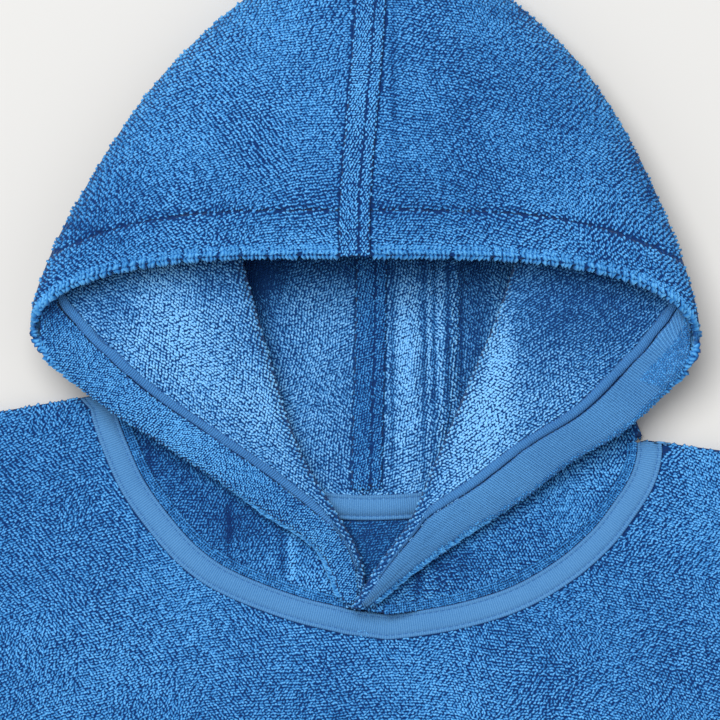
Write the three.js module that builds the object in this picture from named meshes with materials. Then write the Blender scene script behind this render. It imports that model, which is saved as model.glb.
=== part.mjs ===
import * as THREE from 'three';

// Hooded bath poncho of towelling, laid face up on a table with its hood open.
// Millimetres. X is the wearer's left to right as laid, Y runs from the hem to the hood, Z is up from the table.

// Cloth and trimmings
const WALL = 2.6;
const SEAM_GAP = 0.3;
const TAPE_WALL = 1.0;
const HEM_WIDTH = 20;
const NECK_TAPE_WIDTH = 11.7;
const EDGE_TAPE_WIDTH = 4.4;
const FELL_WIDTH = 13;
const FELL_WALL = 0.9;

// Body
const HEM_Y = -975;
const ARM_OPENING = 265;
const PANEL_HEM = 18;
const PANEL_HEM_EXTRA = 1.2;
const BACK_Z = WALL / 2;
const FRONT_Z = 4.9;

// Shoulder lines, from the neck out to the side of the body
const SHOULDER = {
  left: { neckX: -116.4, neckY: 12, outerX: -396, outerY: -36 },
  right: { neckX: 125.6, neckY: -9, outerX: 404, outerY: -47 },
};

// Columns of the hood's surface, counted from its centre or front edge round to its centre back or neck edge
const SIDE_TURN = 8;
const LAPEL = 11;
const RIDGE = 17;
const UNDER = 21;
const BACK_TURN = 25;
const BACK_WALL = 29;
const LAST_COLUMN = 34;

// Sections of the hood, counted from the top of the crown down to the front of the neck
const STITCH_SECTION = 7;
const BROW_SECTION = 8;
const SHOULDER_SECTION = 11;
const NECK_SECTION = 15;

// The centre seam, a row per section: where the crown and the back wall meet it
const SEAM = {
  columns: ['at', 'crownX', 'crownY', 'crownZ', 'backX', 'backY', 'backZ'],
  rows: [
    [0, 4.6, 210.9, 13, 4.6, 210.9, 13],
    [1, 4.3, 207.6, 22, 4.6, 208.2, 5.4],
    [2, 3.6, 199, 30, 4.4, 200, 3.1],
    [3, 2.4, 184, 37, 4.2, 185, 2.85],
    [4, 1.0, 163, 43.5, 3.9, 162, 2.85],
    [5, -1.0, 140, 48, 3.6, 137, 2.85],
    [6, -3.0, 117, 50.5, 3.4, 112, 2.85],
    [7, -4.5, 93.8, 50.5, 3.1, 86, 2.85],
    [8, -4.5, 73.4, 48.5, 2.8, 60, 2.85],
    [9, -4.5, 73.4, 48.5, 2.2, 27, 2.85],
    [10, -4.5, 73.4, 48.5, 1.2, -6, 2.85],
    [11, -4.5, 73.4, 48.5, 0.5, -39.5, 2.85],
  ],
};

// Each half of the hood, a row per section.
// side: the turn at the outline, which below the brow is the free front edge. ridge: the inner fold of the
// turned-back side. back: the turn where the side meets the back wall. fold: how far the two folds are formed.
const HALF_COLUMNS = [
  'at', 'sideX', 'sideY', 'sideZ', 'reach', 'underZ',
  'ridgeX', 'ridgeY', 'ridgeHigh', 'ridgeLow', 'backX', 'backY', 'backHigh', 'fold',
];
const HALF = {
  left: [
    [0, 4.6, 210.9, 13, 0, 13, 4.6, 210.9, 13, 13, 4.6, 210.9, 13, 0],
    [1, -8, 209.1, 13, 4, 6, -4, 206, 5.6, 5.6, -3, 206, 5.5, 0],
    [2, -22, 204.6, 13, 9, 3.2, -14, 198, 3, 2.4, -12, 198, 2.5, 0],
    [3, -46.5, 192.6, 13.5, 14, 2.4, -32, 183, 3.4, 2.6, -28, 182, 3, 0],
    [4, -70.5, 173.6, 15, 18, 4.5, -54, 160, 8, 5, -50, 159, 6, 0],
    [5, -94, 149, 18, 20, 10, -66, 134, 14, 7.4, -66, 134, 7, 0.25],
    [6, -117, 115.5, 22.5, 20, 16.5, -64.6, 111, 20, 9.4, -70, 112, 7.4, 0.75],
    [7, -139.6, 73.6, 28, 20, 21.5, -60.6, 91, 23, 11, -74, 92, 7.6, 1],
    [8, -148, 40, 31, 20, 23, -56, 72.2, 24, 11.6, -79, 72, 7.6, 1],
    [9, -133.7, 21.8, 25.5, 20, 23, -49.8, 49.2, 23, 11, -89, 51, 7.6, 1],
    [10, -112.6, 4.0, 22, 20, 21.5, -43.2, 25.8, 20.5, 10, -102, 31, 7.2, 1],
    [11, -89.1, -11, 18.5, 20, 19.5, -36.2, 2.3, 18, 9, -114.5, 10, 6.2, 1],
    [12, -65.9, -26.3, 16, 17, 17.3, -27.8, -18.7, 16, 8.4, 0, 0, 0, 1],
    [13, -43, -41.8, 14, 12, 15, -14.6, -40.6, 14, 7.8, 0, 0, 0, 1],
    [14, -20.4, -57.8, 10.6, 6.5, 11, -3, -61.6, 10.4, 6.2, 0, 0, 0, 1],
    [15, -8.4, -84.2, 8.2, 2.6, 8.4, 0, -84.7, 8.4, 4.8, 0, 0, 0, 1],
  ],
  right: [
    [0, 4.6, 210.9, 13, 0, 13, 4.6, 210.9, 13, 13, 4.6, 210.9, 13, 0],
    [1, 17.2, 209.1, 13, 4, 6, 13, 206, 5.6, 5.6, 12, 206, 5.5, 0],
    [2, 31.6, 204.6, 13, 9, 3.2, 23.5, 198, 3, 2.4, 21.5, 198, 2.5, 0],
    [3, 56.4, 193, 13.5, 14, 2.4, 42, 183, 3.4, 2.6, 38, 182, 3, 0],
    [4, 79.8, 175, 15, 18, 4.5, 63, 160, 8, 5, 59, 159, 6, 0],
    [5, 101, 151.6, 18, 20, 10, 74, 134, 14, 7.4, 74, 134, 7, 0.25],
    [6, 121.6, 117.2, 22.5, 20, 16.5, 73.5, 110, 20, 9.4, 79.5, 110, 7.4, 0.75],
    [7, 141.2, 70.6, 28, 20, 21.5, 70.6, 88, 23, 11, 84.5, 89, 7.6, 1],
    [8, 148.2, 34.5, 31, 20, 23, 67.2, 68.6, 24, 11.6, 90, 68, 7.6, 1],
    [9, 136.2, 16.6, 25.5, 20, 23, 59.8, 45.6, 23, 11, 100, 45, 7.6, 1],
    [10, 116, -3.7, 22, 20, 21.5, 50.2, 22.8, 20.5, 10, 112, 21, 7.2, 1],
    [11, 91.7, -18.5, 18.5, 20, 19.5, 40.8, 0.2, 18, 9, 123.6, -7.5, 6.2, 1],
    [12, 68.9, -35.8, 16, 17, 17.4, 31, -22.2, 16, 8.4, 0, 0, 0, 1],
    [13, 44.6, -50.4, 15, 10.5, 16, 21.4, -44.9, 15.8, 9.4, 0, 0, 0, 1],
    [14, 21.2, -66.7, 17, 5.5, 17.4, 7.4, -64.6, 17.4, 12.4, 0, 0, 0, 1],
    [15, -0.9, -84.6, 15.8, 1, 15.9, -5.2, -84.4, 16, 12.2, 0, 0, 0, 1],
  ],
};

// The front neck seam from each shoulder to the front of the neck, points that the cut edge runs through
const NECK = {
  columns: ['x', 'y'],
  left: [
    [-110.7, 2.25], [-106.2, -10.4], [-98.1, -27.9], [-83.7, -47.3], [-71.1, -59.8],
    [-55.8, -68.9], [-30.2, -78.6], [-6, -84.6],
  ],
  right: [
    [121.6, -14.5], [118.8, -24.8], [111.2, -36.9], [101.3, -49.5], [85.5, -63],
    [64.8, -74.7], [39.2, -82.4], [13, -86.4], [7, -86.2],
  ],
};

// Soft folds of the body front: centre, direction in degrees, half length, half width, height
const FRONT_FOLDS = {
  columns: ['x', 'y', 'turn', 'long', 'wide', 'high'],
  rows: [
    [-150, -95, 62, 120, 34, 3.2],
    [-245, -190, 50, 150, 45, 3.6],
    [105, -150, 118, 110, 36, 2.8],
    [215, -230, 128, 170, 48, 3.8],
    [-60, -330, 84, 190, 44, 3.4],
    [90, -470, 96, 210, 50, 3.6],
    [-210, -560, 80, 220, 48, 4.2],
    [250, -640, 99, 220, 46, 4],
    [-20, -760, 90, 170, 52, 3.4],
  ],
};

// Ridges of the hood's back wall to the wearer's left of the seam: x at the brow, x at the neck, half width, height
const BACK_RIDGES = [
  { top: 27, foot: 26, wide: 5, high: 3.2 },
  { top: 41, foot: 34, wide: 6.5, high: 3.8 },
];

const clamp01 = (t) => Math.min(1, Math.max(0, t));
const mix = (a, b, t) => a + (b - a) * t;
const ease = (t) => clamp01(t) ** 2 * (3 - 2 * clamp01(t));
const mixPoint = (p, q, t) => [mix(p[0], q[0], t), mix(p[1], q[1], t), mix(p[2], q[2], t)];

// Smooth curve through the rows of a table; returns every column at position t
function through(rows, t) {
  const last = rows.length - 1;
  const first = rows[0][0];
  const at = Math.min(last, Math.max(0, t - first));
  const k = Math.min(last - 1, Math.floor(at));
  const f = at - k;
  const row = (n) => rows[Math.min(last, Math.max(0, n))];
  return rows[k].map((value, c) => {
    const p0 = row(k - 1)[c];
    const p1 = value;
    const p2 = row(k + 1)[c];
    const p3 = row(k + 2)[c];
    const m1 = k === 0 ? p2 - p1 : (p2 - p0) / 2;
    const m2 = k === last - 1 ? p2 - p1 : (p3 - p1) / 2;
    return (2 * f ** 3 - 3 * f ** 2 + 1) * p1 + (f ** 3 - 2 * f ** 2 + f) * m1
      + (-2 * f ** 3 + 3 * f ** 2) * p2 + (f ** 3 - f ** 2) * m2;
  });
}

const named = (columns, values) => Object.fromEntries(columns.map((name, c) => [name, values[c]]));
const seamAt = (i) => named(SEAM.columns, through(SEAM.rows, Math.min(i, SHOULDER_SECTION)));

// Columns for the back turn run out at the shoulder, so its last row holds below that
function halfAt(side, i) {
  const full = named(HALF_COLUMNS, through(HALF[side], i));
  if (i > SHOULDER_SECTION - 1) {
    const upper = HALF[side].slice(0, SHOULDER_SECTION + 1);
    const end = named(HALF_COLUMNS, through(upper, Math.min(i, SHOULDER_SECTION)));
    full.backX = end.backX;
    full.backY = end.backY;
    full.backHigh = end.backHigh;
  }
  return full;
}

const planUnit = (p, q) => {
  const x = q[0] - p[0];
  const y = q[1] - p[1];
  const long = Math.hypot(x, y) || 1;
  return [x / long, y / long];
};

// Where the side's lower layer reaches the shoulder turn
function turnStart(side, i) {
  const h = halfAt(side, i);
  const radius = (h.backHigh - BACK_Z) / 2;
  const d = planUnit([h.backX, h.backY], [h.ridgeX, h.ridgeY]);
  return [h.backX + d[0] * radius, h.backY + d[1] * radius, h.backHigh];
}

// The front neck seam by length, 0 at the shoulder and 1 at the front of the neck
const neckCurves = {};
function neckCurve(side) {
  if (!neckCurves[side]) {
    const start = turnStart(side, SHOULDER_SECTION);
    const rows = [[start[0], start[1]], ...NECK[side]].map((p, k) => [k, ...p]);
    const points = [];
    for (let k = 0; k <= (rows.length - 1) * 8; k += 1) {
      points.push(through(rows, k / 8).slice(1));
    }
    const lengths = [0];
    for (let k = 1; k < points.length; k += 1) {
      const step = Math.hypot(points[k][0] - points[k - 1][0], points[k][1] - points[k - 1][1]);
      lengths.push(lengths[k - 1] + step);
    }
    neckCurves[side] = { points, lengths, total: lengths[lengths.length - 1] };
  }
  return neckCurves[side];
}

function neckPoint(side, f) {
  const { points, lengths, total } = neckCurve(side);
  const want = clamp01(f) * total;
  let k = 1;
  while (k < points.length - 1 && lengths[k] < want) {
    k += 1;
  }
  const t = (want - lengths[k - 1]) / (lengths[k] - lengths[k - 1]);
  return [mix(points[k - 1][0], points[k][0], t), mix(points[k - 1][1], points[k][1], t)];
}

// Height of the neck seam at the front: the right side crosses over the left one at the front of the neck
function neckSeamZ(side, f) {
  const start = turnStart(side, SHOULDER_SECTION)[2];
  const crossing = side === 'right' ? 7 * ease((f - 0.84) / 0.14) : 0;
  return mix(start, FRONT_Z, ease(f / 0.12)) + crossing;
}

// A point of the crown, 0 at the seam and 1 at the outline
function crownPoint(side, i, s) {
  const seam = seamAt(i);
  const h = halfAt(side, i);
  const across = Math.sin((s * Math.PI) / 2);
  const sign = side === 'left' ? -1 : 1;
  const startX = seam.crownX + (sign * SEAM_GAP) / 2;
  const fall = mix(2, 3.8, ease((i - 2) / 5));
  const hook = 0.4 * ease(i - STITCH_SECTION);
  return [
    mix(startX, h.sideX, across),
    mix(seam.crownY, h.sideY, mix(across ** fall, s ** 7, hook)),
    mix(h.sideZ, seam.crownZ, Math.sqrt(Math.max(0, 1 - across ** 2.4))),
  ];
}

// The layer under the crown without folds: from the outline straight in to the back seam
function plainPoint(side, i, s) {
  const h = halfAt(side, i);
  const end = seamAt(i);
  const sign = side === 'left' ? -1 : 1;
  const endX = end.backX + (sign * SEAM_GAP) / 2;
  const d = planUnit([h.sideX, h.sideY], [endX, end.backY]);
  const from = [h.sideX + d[0] * h.reach, h.sideY + d[1] * h.reach];
  return [
    mix(from[0], endX, s),
    mix(from[1], end.backY, s),
    mix(h.underZ, end.backZ, ease(s * 1.6)),
  ];
}

// The layers under the crown with both folds formed, or the turned-back side and what is under it
function foldedPoint(side, i, j) {
  const h = halfAt(side, i);
  const ridge = [h.ridgeX, h.ridgeY];
  const inward = planUnit([h.sideX, h.sideY], ridge);
  const top = (h.ridgeHigh - h.ridgeLow) / 2;
  const from = [h.sideX + inward[0] * h.reach, h.sideY + inward[1] * h.reach, h.underZ];
  const high = [ridge[0] - inward[0] * top, ridge[1] - inward[1] * top, h.ridgeHigh];
  if (j <= RIDGE) {
    const s = (j - LAPEL) / (RIDGE - LAPEL);
    const p = mixPoint(from, high, s);
    const long = Math.hypot(high[0] - from[0], high[1] - from[1]);
    p[2] += Math.min(2, long * 0.05) * Math.sin(Math.PI * s);
    return p;
  }
  const below = i <= SHOULDER_SECTION;
  const f = (i - SHOULDER_SECTION) / (NECK_SECTION - SHOULDER_SECTION);
  const end = below ? turnStart(side, i) : [...neckPoint(side, f), neckSeamZ(side, f)];
  const outward = planUnit(ridge, end);
  if (j <= UNDER) {
    const angle = (Math.PI * (j - RIDGE)) / (UNDER - RIDGE);
    const along = angle < Math.PI / 2 ? inward : outward;
    const back = angle < Math.PI / 2 ? -1 : 1;
    const reach = top * (1 - Math.sin(angle)) * back;
    return [
      ridge[0] + along[0] * reach,
      ridge[1] + along[1] * reach,
      (h.ridgeHigh + h.ridgeLow) / 2 + top * Math.cos(angle),
    ];
  }
  const low = [ridge[0] + outward[0] * top, ridge[1] + outward[1] * top, h.ridgeLow];
  if (j <= BACK_TURN) {
    const s = (j - UNDER) / (BACK_TURN - UNDER);
    const p = mixPoint(low, end, s);
    p[2] = mix(low[2], end[2], ease(s));
    return p;
  }
  const radius = (h.backHigh - BACK_Z) / 2;
  const seam = seamAt(i);
  const sign = side === 'left' ? -1 : 1;
  const endX = seam.backX + (sign * SEAM_GAP) / 2;
  const turned = planUnit([h.backX, h.backY], [endX, h.backY]);
  if (j <= BACK_WALL) {
    const angle = (Math.PI * (j - BACK_TURN)) / (BACK_WALL - BACK_TURN);
    const along = angle < Math.PI / 2 ? outward.map((v) => -v) : turned;
    const reach = radius * (1 - Math.sin(angle));
    return [
      h.backX + along[0] * reach,
      h.backY + along[1] * reach,
      (h.backHigh + BACK_Z) / 2 + radius * Math.cos(angle),
    ];
  }
  const s = (j - BACK_WALL) / (LAST_COLUMN - BACK_WALL);
  const curve = mix(1.4, 2.1, ease((i - BROW_SECTION) / 3));
  const startX = h.backX + turned[0] * radius;
  return [
    mix(startX, endX, s),
    mix(seam.backY, h.backY, (1 - s) ** curve),
    mix(BACK_Z, seam.backZ, ease(s)),
  ];
}

// Soft ridges that stand on the hood's back wall
function backRidges(side, p, i) {
  if (side !== 'right' || i < 4) {
    return 0;
  }
  const down = clamp01((85 - p[1]) / 110);
  const fade = ease((i - 4) / 2) * ease((p[1] + 30) / 40);
  return BACK_RIDGES.reduce((sum, ridge) => {
    const off = (p[0] - mix(ridge.top, ridge.foot, down)) / mix(ridge.wide, ridge.wide * 0.6, down);
    return sum + ridge.high * Math.exp(-off * off) * fade;
  }, 0);
}

// A point of one half of the hood
function hoodPoint(side, i, j) {
  if (i === 0) {
    return crownPoint(side, 0, 0);
  }
  if (j <= SIDE_TURN) {
    return crownPoint(side, i, j / SIDE_TURN);
  }
  const h = halfAt(side, i);
  const lowerAt = (column) => {
    const folded = h.fold > 0 ? foldedPoint(side, i, column) : null;
    const s = (column - LAPEL) / (LAST_COLUMN - LAPEL);
    const plain = h.fold < 1 && i < SHOULDER_SECTION ? plainPoint(side, i, s) : folded;
    return mixPoint(plain, folded || plain, clamp01(h.fold));
  };
  if (j <= LAPEL) {
    const inner = lowerAt(LAPEL);
    const next = lowerAt(LAPEL + 0.5);
    const s = (j - SIDE_TURN) / (LAPEL - SIDE_TURN);
    const round = 1 - ease((i - BROW_SECTION) / 1);
    const angle = (s * Math.PI) / 2;
    const across = mix(s, 1 - Math.cos(angle), round);
    const drop = mix(ease(s), Math.sin(angle), round);
    const p = [
      mix(h.sideX, inner[0], across),
      mix(h.sideY, inner[1], across),
      mix(h.sideZ, inner[2], drop),
    ];
    p[2] += (next[2] - inner[2]) * 0.4 * (s * s - s);
    return p;
  }
  const p = lowerAt(j);
  if (j > BACK_WALL) {
    p[2] += backRidges(side, p, i);
  }
  return p;
}

// Centre points, walls and rim of a sheet given as a grid with holes in it
function sheetGeometry(grid, used, outer, inner, onSeam = () => false) {
  const rows = grid.length;
  const columns = grid[0].length;
  const keys = new Map();
  const points = [];
  const normals = [];
  const id = (r, c) => {
    const key = grid[r][c].map((v) => v.toFixed(4)).join(' ');
    if (!keys.has(key)) {
      keys.set(key, points.length);
      points.push(new THREE.Vector3(...grid[r][c]));
      normals.push(new THREE.Vector3());
    }
    return keys.get(key);
  };
  const faces = [];
  const spot = new Map();
  for (let r = 0; r + 1 < rows; r += 1) {
    for (let c = 0; c + 1 < columns; c += 1) {
      if (used(r, c)) {
        const corner = [id(r, c), id(r, c + 1), id(r + 1, c + 1), id(r + 1, c)];
        [[r, c], [r, c + 1], [r + 1, c + 1], [r + 1, c]].forEach((rc, n) => spot.set(corner[n], rc));
        const flip = (r + c) % 2 === 0;
        const split = flip ? [[0, 1, 2], [0, 2, 3]] : [[0, 1, 3], [1, 2, 3]];
        split.forEach((t) => {
          const face = t.map((n) => corner[n]);
          if (new Set(face).size === 3) {
            faces.push(face);
          }
        });
      }
    }
  }
  faces.forEach(([a, b, c]) => {
    const ab = points[b].clone().sub(points[a]);
    const ac = points[c].clone().sub(points[a]);
    const normal = ab.cross(ac);
    const long = normal.length();
    normal.divideScalar(long > 0 ? Math.sqrt(long) : 1);
    [a, b, c].forEach((n) => normals[n].add(normal));
  });
  normals.forEach((n, k) => {
    if (spot.has(k) && onSeam(...spot.get(k))) {
      n.x = 0;
    }
    n.normalize();
  });
  const position = [];
  points.forEach((p, n) => {
    const [r, c] = spot.get(n) || [0, 0];
    const reach = outer(r, c);
    position.push(p.x + normals[n].x * reach, p.y + normals[n].y * reach, p.z + normals[n].z * reach);
  });
  points.forEach((p, n) => {
    const [r, c] = spot.get(n) || [0, 0];
    const reach = inner(r, c);
    position.push(p.x - normals[n].x * reach, p.y - normals[n].y * reach, p.z - normals[n].z * reach);
  });
  const count = points.length;
  const index = [];
  const edges = new Map();
  faces.forEach(([a, b, c]) => {
    index.push(a, b, c, a + count, c + count, b + count);
    [[a, b], [b, c], [c, a]].forEach(([from, to]) => {
      const back = `${to} ${from}`;
      if (edges.has(back)) {
        edges.delete(back);
      } else {
        edges.set(`${from} ${to}`, [from, to]);
      }
    });
  });
  edges.forEach(([from, to]) => {
    index.push(from, from + count, to, to, from + count, to + count);
  });
  const geometry = new THREE.BufferGeometry();
  geometry.setAttribute('position', new THREE.Float32BufferAttribute(position, 3));
  geometry.setIndex(index);
  return geometry;
}

const range = (from, to, count) => Array.from({ length: count + 1 }, (_, k) => mix(from, to, k / count));

const HOOD_ROWS = [
  0, 0.5, 1, 1.5, 2, 2.5, 3, 3.5, 4, 4.5, 5, 5.5, 6, 6.5, 6.93, 7, 7.07, 7.5, 8,
  8.4, 9, 9.5, 10, 10.5, 11, 11.5, 12, 12.5, 13, 13.5, 14, 14.5, 15,
];
const HOOD_COLUMNS = range(0, LAST_COLUMN, LAST_COLUMN);

// One half of the hood. On the crown the hem stands a little above the panel, past a stitched groove.
function hoodHalf(side) {
  const grid = HOOD_ROWS.map((i) => HOOD_COLUMNS.map((j) => {
    const upper = i <= BROW_SECTION || j >= SIDE_TURN;
    const inside = i <= SHOULDER_SECTION || j <= BACK_TURN;
    return upper && inside ? hoodPoint(side, i, j) : [0, 0, 0];
  }));
  const used = (r, c) => {
    const i = HOOD_ROWS[r];
    const j = HOOD_COLUMNS[c];
    return (i < BROW_SECTION || j >= SIDE_TURN) && (i < SHOULDER_SECTION || j < BACK_TURN);
  };
  const raised = (r, c) => {
    const i = HOOD_ROWS[r];
    const j = HOOD_COLUMNS[c];
    if (j > SIDE_TURN || i < 6.9 || i > BROW_SECTION) {
      return 0;
    }
    if (i === STITCH_SECTION) {
      return -0.6;
    }
    return i > STITCH_SECTION && i < BROW_SECTION ? 0.8 : 0;
  };
  const left = side === 'left';
  const outer = (r, c) => WALL / 2 + (left ? raised(r, c) : 0);
  const inner = (r, c) => WALL / 2 + (left ? 0 : raised(r, c));
  const onSeam = (r, c) => {
    const i = HOOD_ROWS[r];
    const front = HOOD_COLUMNS[c] === 0 && i <= BROW_SECTION;
    const back = HOOD_COLUMNS[c] === LAST_COLUMN && i <= SHOULDER_SECTION;
    return i === 0 || front || back;
  };
  return sheetGeometry(grid, used, outer, inner, onSeam);
}

const side = { left: -1, right: 1 };

// Height of the seam fell over the hem's raised edge
const overHem = (i) => (i > 6.9 ? 0.85 : 0);

// Amount of turned hem at a place on a body panel: the foot and the arm openings are hemmed
function hemAmount(x, y) {
  const foot = 1 - ease((y - HEM_Y - PANEL_HEM) / 4);
  const toSide = Math.min(x - SHOULDER.left.outerX, SHOULDER.right.outerX - x);
  const top = x < 0 ? SHOULDER.left.outerY : SHOULDER.right.outerY;
  const armhole = (1 - ease((toSide - PANEL_HEM) / 4)) * ease((y - (top - ARM_OPENING)) / 30);
  return Math.max(foot, armhole);
}

// Middle of the front panel's wall over the table
function frontZ(x, y) {
  const toSide = Math.min(x - SHOULDER.left.outerX, SHOULDER.right.outerX - x);
  const seamed = mix(BACK_Z * 3 + 0.35, FRONT_Z, ease(toSide / 16));
  const inside = ease(toSide / 90) * ease((y - HEM_Y) / 90) * ease((-30 - y) / 70);
  const folds = FRONT_FOLDS.rows.reduce((sum, row) => {
    const fold = named(FRONT_FOLDS.columns, row);
    const turn = (fold.turn * Math.PI) / 180;
    const along = ((x - fold.x) * Math.cos(turn) + (y - fold.y) * Math.sin(turn)) / fold.long;
    const off = (-(x - fold.x) * Math.sin(turn) + (y - fold.y) * Math.cos(turn)) / fold.wide;
    return sum + fold.high * Math.exp(-along * along - off * off);
  }, 0);
  const onHems = 2 * PANEL_HEM_EXTRA * hemAmount(x, y);
  return seamed + folds * inside + onHems * mix(1, 0.8, ease(toSide / 16));
}

// The cut edge of the front neck on the body, and the way out from it
function neckEdge(name, f, out) {
  const corner = SHOULDER[name];
  if (f === 0) {
    const d = planUnit([corner.neckX, corner.neckY], [corner.outerX, corner.outerY]);
    return [corner.neckX + d[0] * out, corner.neckY + d[1] * out];
  }
  const p = neckPoint(name, f);
  const d = planUnit(neckPoint(name, f - 0.02), neckPoint(name, Math.min(1, f + 0.02)));
  const reach = SEAM_GAP + out;
  return name === 'left' ? [p[0] + d[1] * reach, p[1] - d[0] * reach] : [p[0] - d[1] * reach, p[1] + d[0] * reach];
}

// The cut edge of the back neck on the body
function backNeckEdge(name, s) {
  const j = mix(BACK_WALL, LAST_COLUMN, s);
  const p = hoodPoint(name, SHOULDER_SECTION, j);
  const q = hoodPoint(name, SHOULDER_SECTION, Math.min(LAST_COLUMN, j + 0.2));
  const o = hoodPoint(name, SHOULDER_SECTION, Math.max(BACK_WALL, j - 0.2));
  const d = planUnit(o, q);
  const down = name === 'left' ? [d[1], -d[0]] : [-d[1], d[0]];
  return { p, down };
}

const NECK_STEPS = [0.125, 0.25, 0.375, 0.5, 0.625, 0.75, 0.875, 1];
const SHOULDER_STEPS = [0, 0.065, 0.08, 0.28, 0.5, 0.72, 0.88];
const FRONT_ROWS = [0, 0.012, 0.03, 0.065, 0.11, 0.17, 0.25, 0.35, 0.46, 0.58, 0.7, 0.82, 0.93];
const BACK_ROWS = [0, 0.03, 0.1, 0.28, 0.6, 0.93];
const neckCorner = (name) => [
  [SHOULDER[name].neckX, SHOULDER[name].neckY],
  [SHOULDER[name].neckX, SHOULDER[name].neckY - 4.2],
];

// Top edge of a body panel from the wearer's left to right, with the place on the hem below each point
function panelColumns(neck) {
  const half = (name) => {
    const line = SHOULDER[name];
    const foot = side[name] * 215 + 2;
    const shoulder = SHOULDER_STEPS.map((s) => ({
      top: [mix(line.outerX, line.neckX, s), mix(line.outerY, line.neckY, s)],
      foot: mix(line.outerX, foot, s <= 0.08 ? s * ((line.neckX - line.outerX) / (foot - line.outerX)) : s),
    }));
    const points = neck(name);
    return [...shoulder, ...points.map((top, k) => ({ top, foot: mix(foot, 2, (k / points.length) ** 0.9) }))];
  };
  return [...half('left'), ...half('right').reverse()].reverse();
}

function panelGrid(columns, rows, height) {
  const hemRows = [PANEL_HEM + 4, PANEL_HEM, 0];
  return [...rows, ...hemRows].map((b, r) => columns.map(({ top, foot }) => {
    const low = r >= rows.length;
    const y = low ? HEM_Y + b : mix(top[1], HEM_Y, b);
    const t = (top[1] - y) / (top[1] - HEM_Y);
    const x = mix(top[0], foot, t);
    return [x, y, height(x, y)];
  }));
}

function bodyFront() {
  const neck = (name) => [...neckCorner(name), ...NECK_STEPS.map((f) => neckEdge(name, f, 0.1))];
  const grid = panelGrid(panelColumns(neck), FRONT_ROWS, frontZ);
  const extra = (r, c) => PANEL_HEM_EXTRA * hemAmount(grid[r][c][0], grid[r][c][1]);
  return sheetGeometry(grid, () => true, () => WALL / 2, (r, c) => WALL / 2 + extra(r, c));
}

function bodyBack() {
  const neck = (name) => {
    const steps = name === 'left' ? [0.2, 0.4, 0.6, 0.8, 1] : [0.2, 0.4, 0.6, 0.8];
    const rest = steps.map((s) => {
      const { p, down } = backNeckEdge(name, s);
      return [p[0] + down[0] * SEAM_GAP, p[1] + down[1] * SEAM_GAP];
    });
    return [...neckCorner(name), ...rest];
  };
  const grid = panelGrid(panelColumns(neck), BACK_ROWS, () => BACK_Z);
  const extra = (r, c) => PANEL_HEM_EXTRA * hemAmount(grid[r][c][0], grid[r][c][1]);
  return sheetGeometry(grid, () => true, (r, c) => WALL / 2 + extra(r, c), () => WALL / 2);
}

// The tape outside over the front neck seam, thinner at its two folded lips
function neckTapeFront() {
  const across = [0.6, 1.6, 6.2, NECK_TAPE_WIDTH - 1, NECK_TAPE_WIDTH];
  const steps = [0, 0.06, ...NECK_STEPS];
  const stations = [
    ...steps.map((f) => ['left', f]),
    ...steps.map((f) => ['right', f]).reverse(),
  ];
  const grid = across.map((out) => stations.map(([name, f]) => {
    const [x, y] = neckEdge(name, f, out);
    const inset = f === 0 ? -1.2 : 0;
    return [x, y + inset, frontZ(x, y) + WALL / 2 + SEAM_GAP + TAPE_WALL / 2];
  }).reverse());
  const top = (r) => (r === 0 || r === across.length - 1 ? TAPE_WALL * 0.35 : TAPE_WALL * 0.6);
  return sheetGeometry(grid, () => true, top, () => TAPE_WALL / 2);
}

// The tape inside over the back neck seam
function neckTapeBack() {
  const across = [-6, -5, 0, 5, 6];
  const steps = [0.3, 0.4, 0.5, 0.6, 0.7, 0.8, 0.9, 1];
  const stations = [
    ...steps.map((s) => ['left', s]),
    ...steps.map((s) => ['right', s]).reverse().slice(1),
  ];
  const grid = across.map((out) => stations.map(([name, s]) => {
    const { p, down } = backNeckEdge(name, s);
    const middle = s === 1;
    const on = [middle ? 0.5 : p[0] + down[0] * out, p[1] + (middle ? -1 : down[1]) * out];
    const fall = mix(p[2], BACK_Z, ease(out / 6) * 0.9);
    return [...on, fall + WALL / 2 + SEAM_GAP + TAPE_WALL / 2];
  }).reverse());
  const top = (r) => (r === 0 || r === across.length - 1 ? TAPE_WALL * 0.35 : TAPE_WALL * 0.6);
  return sheetGeometry(grid, () => true, top, () => TAPE_WALL / 2);
}

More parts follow.
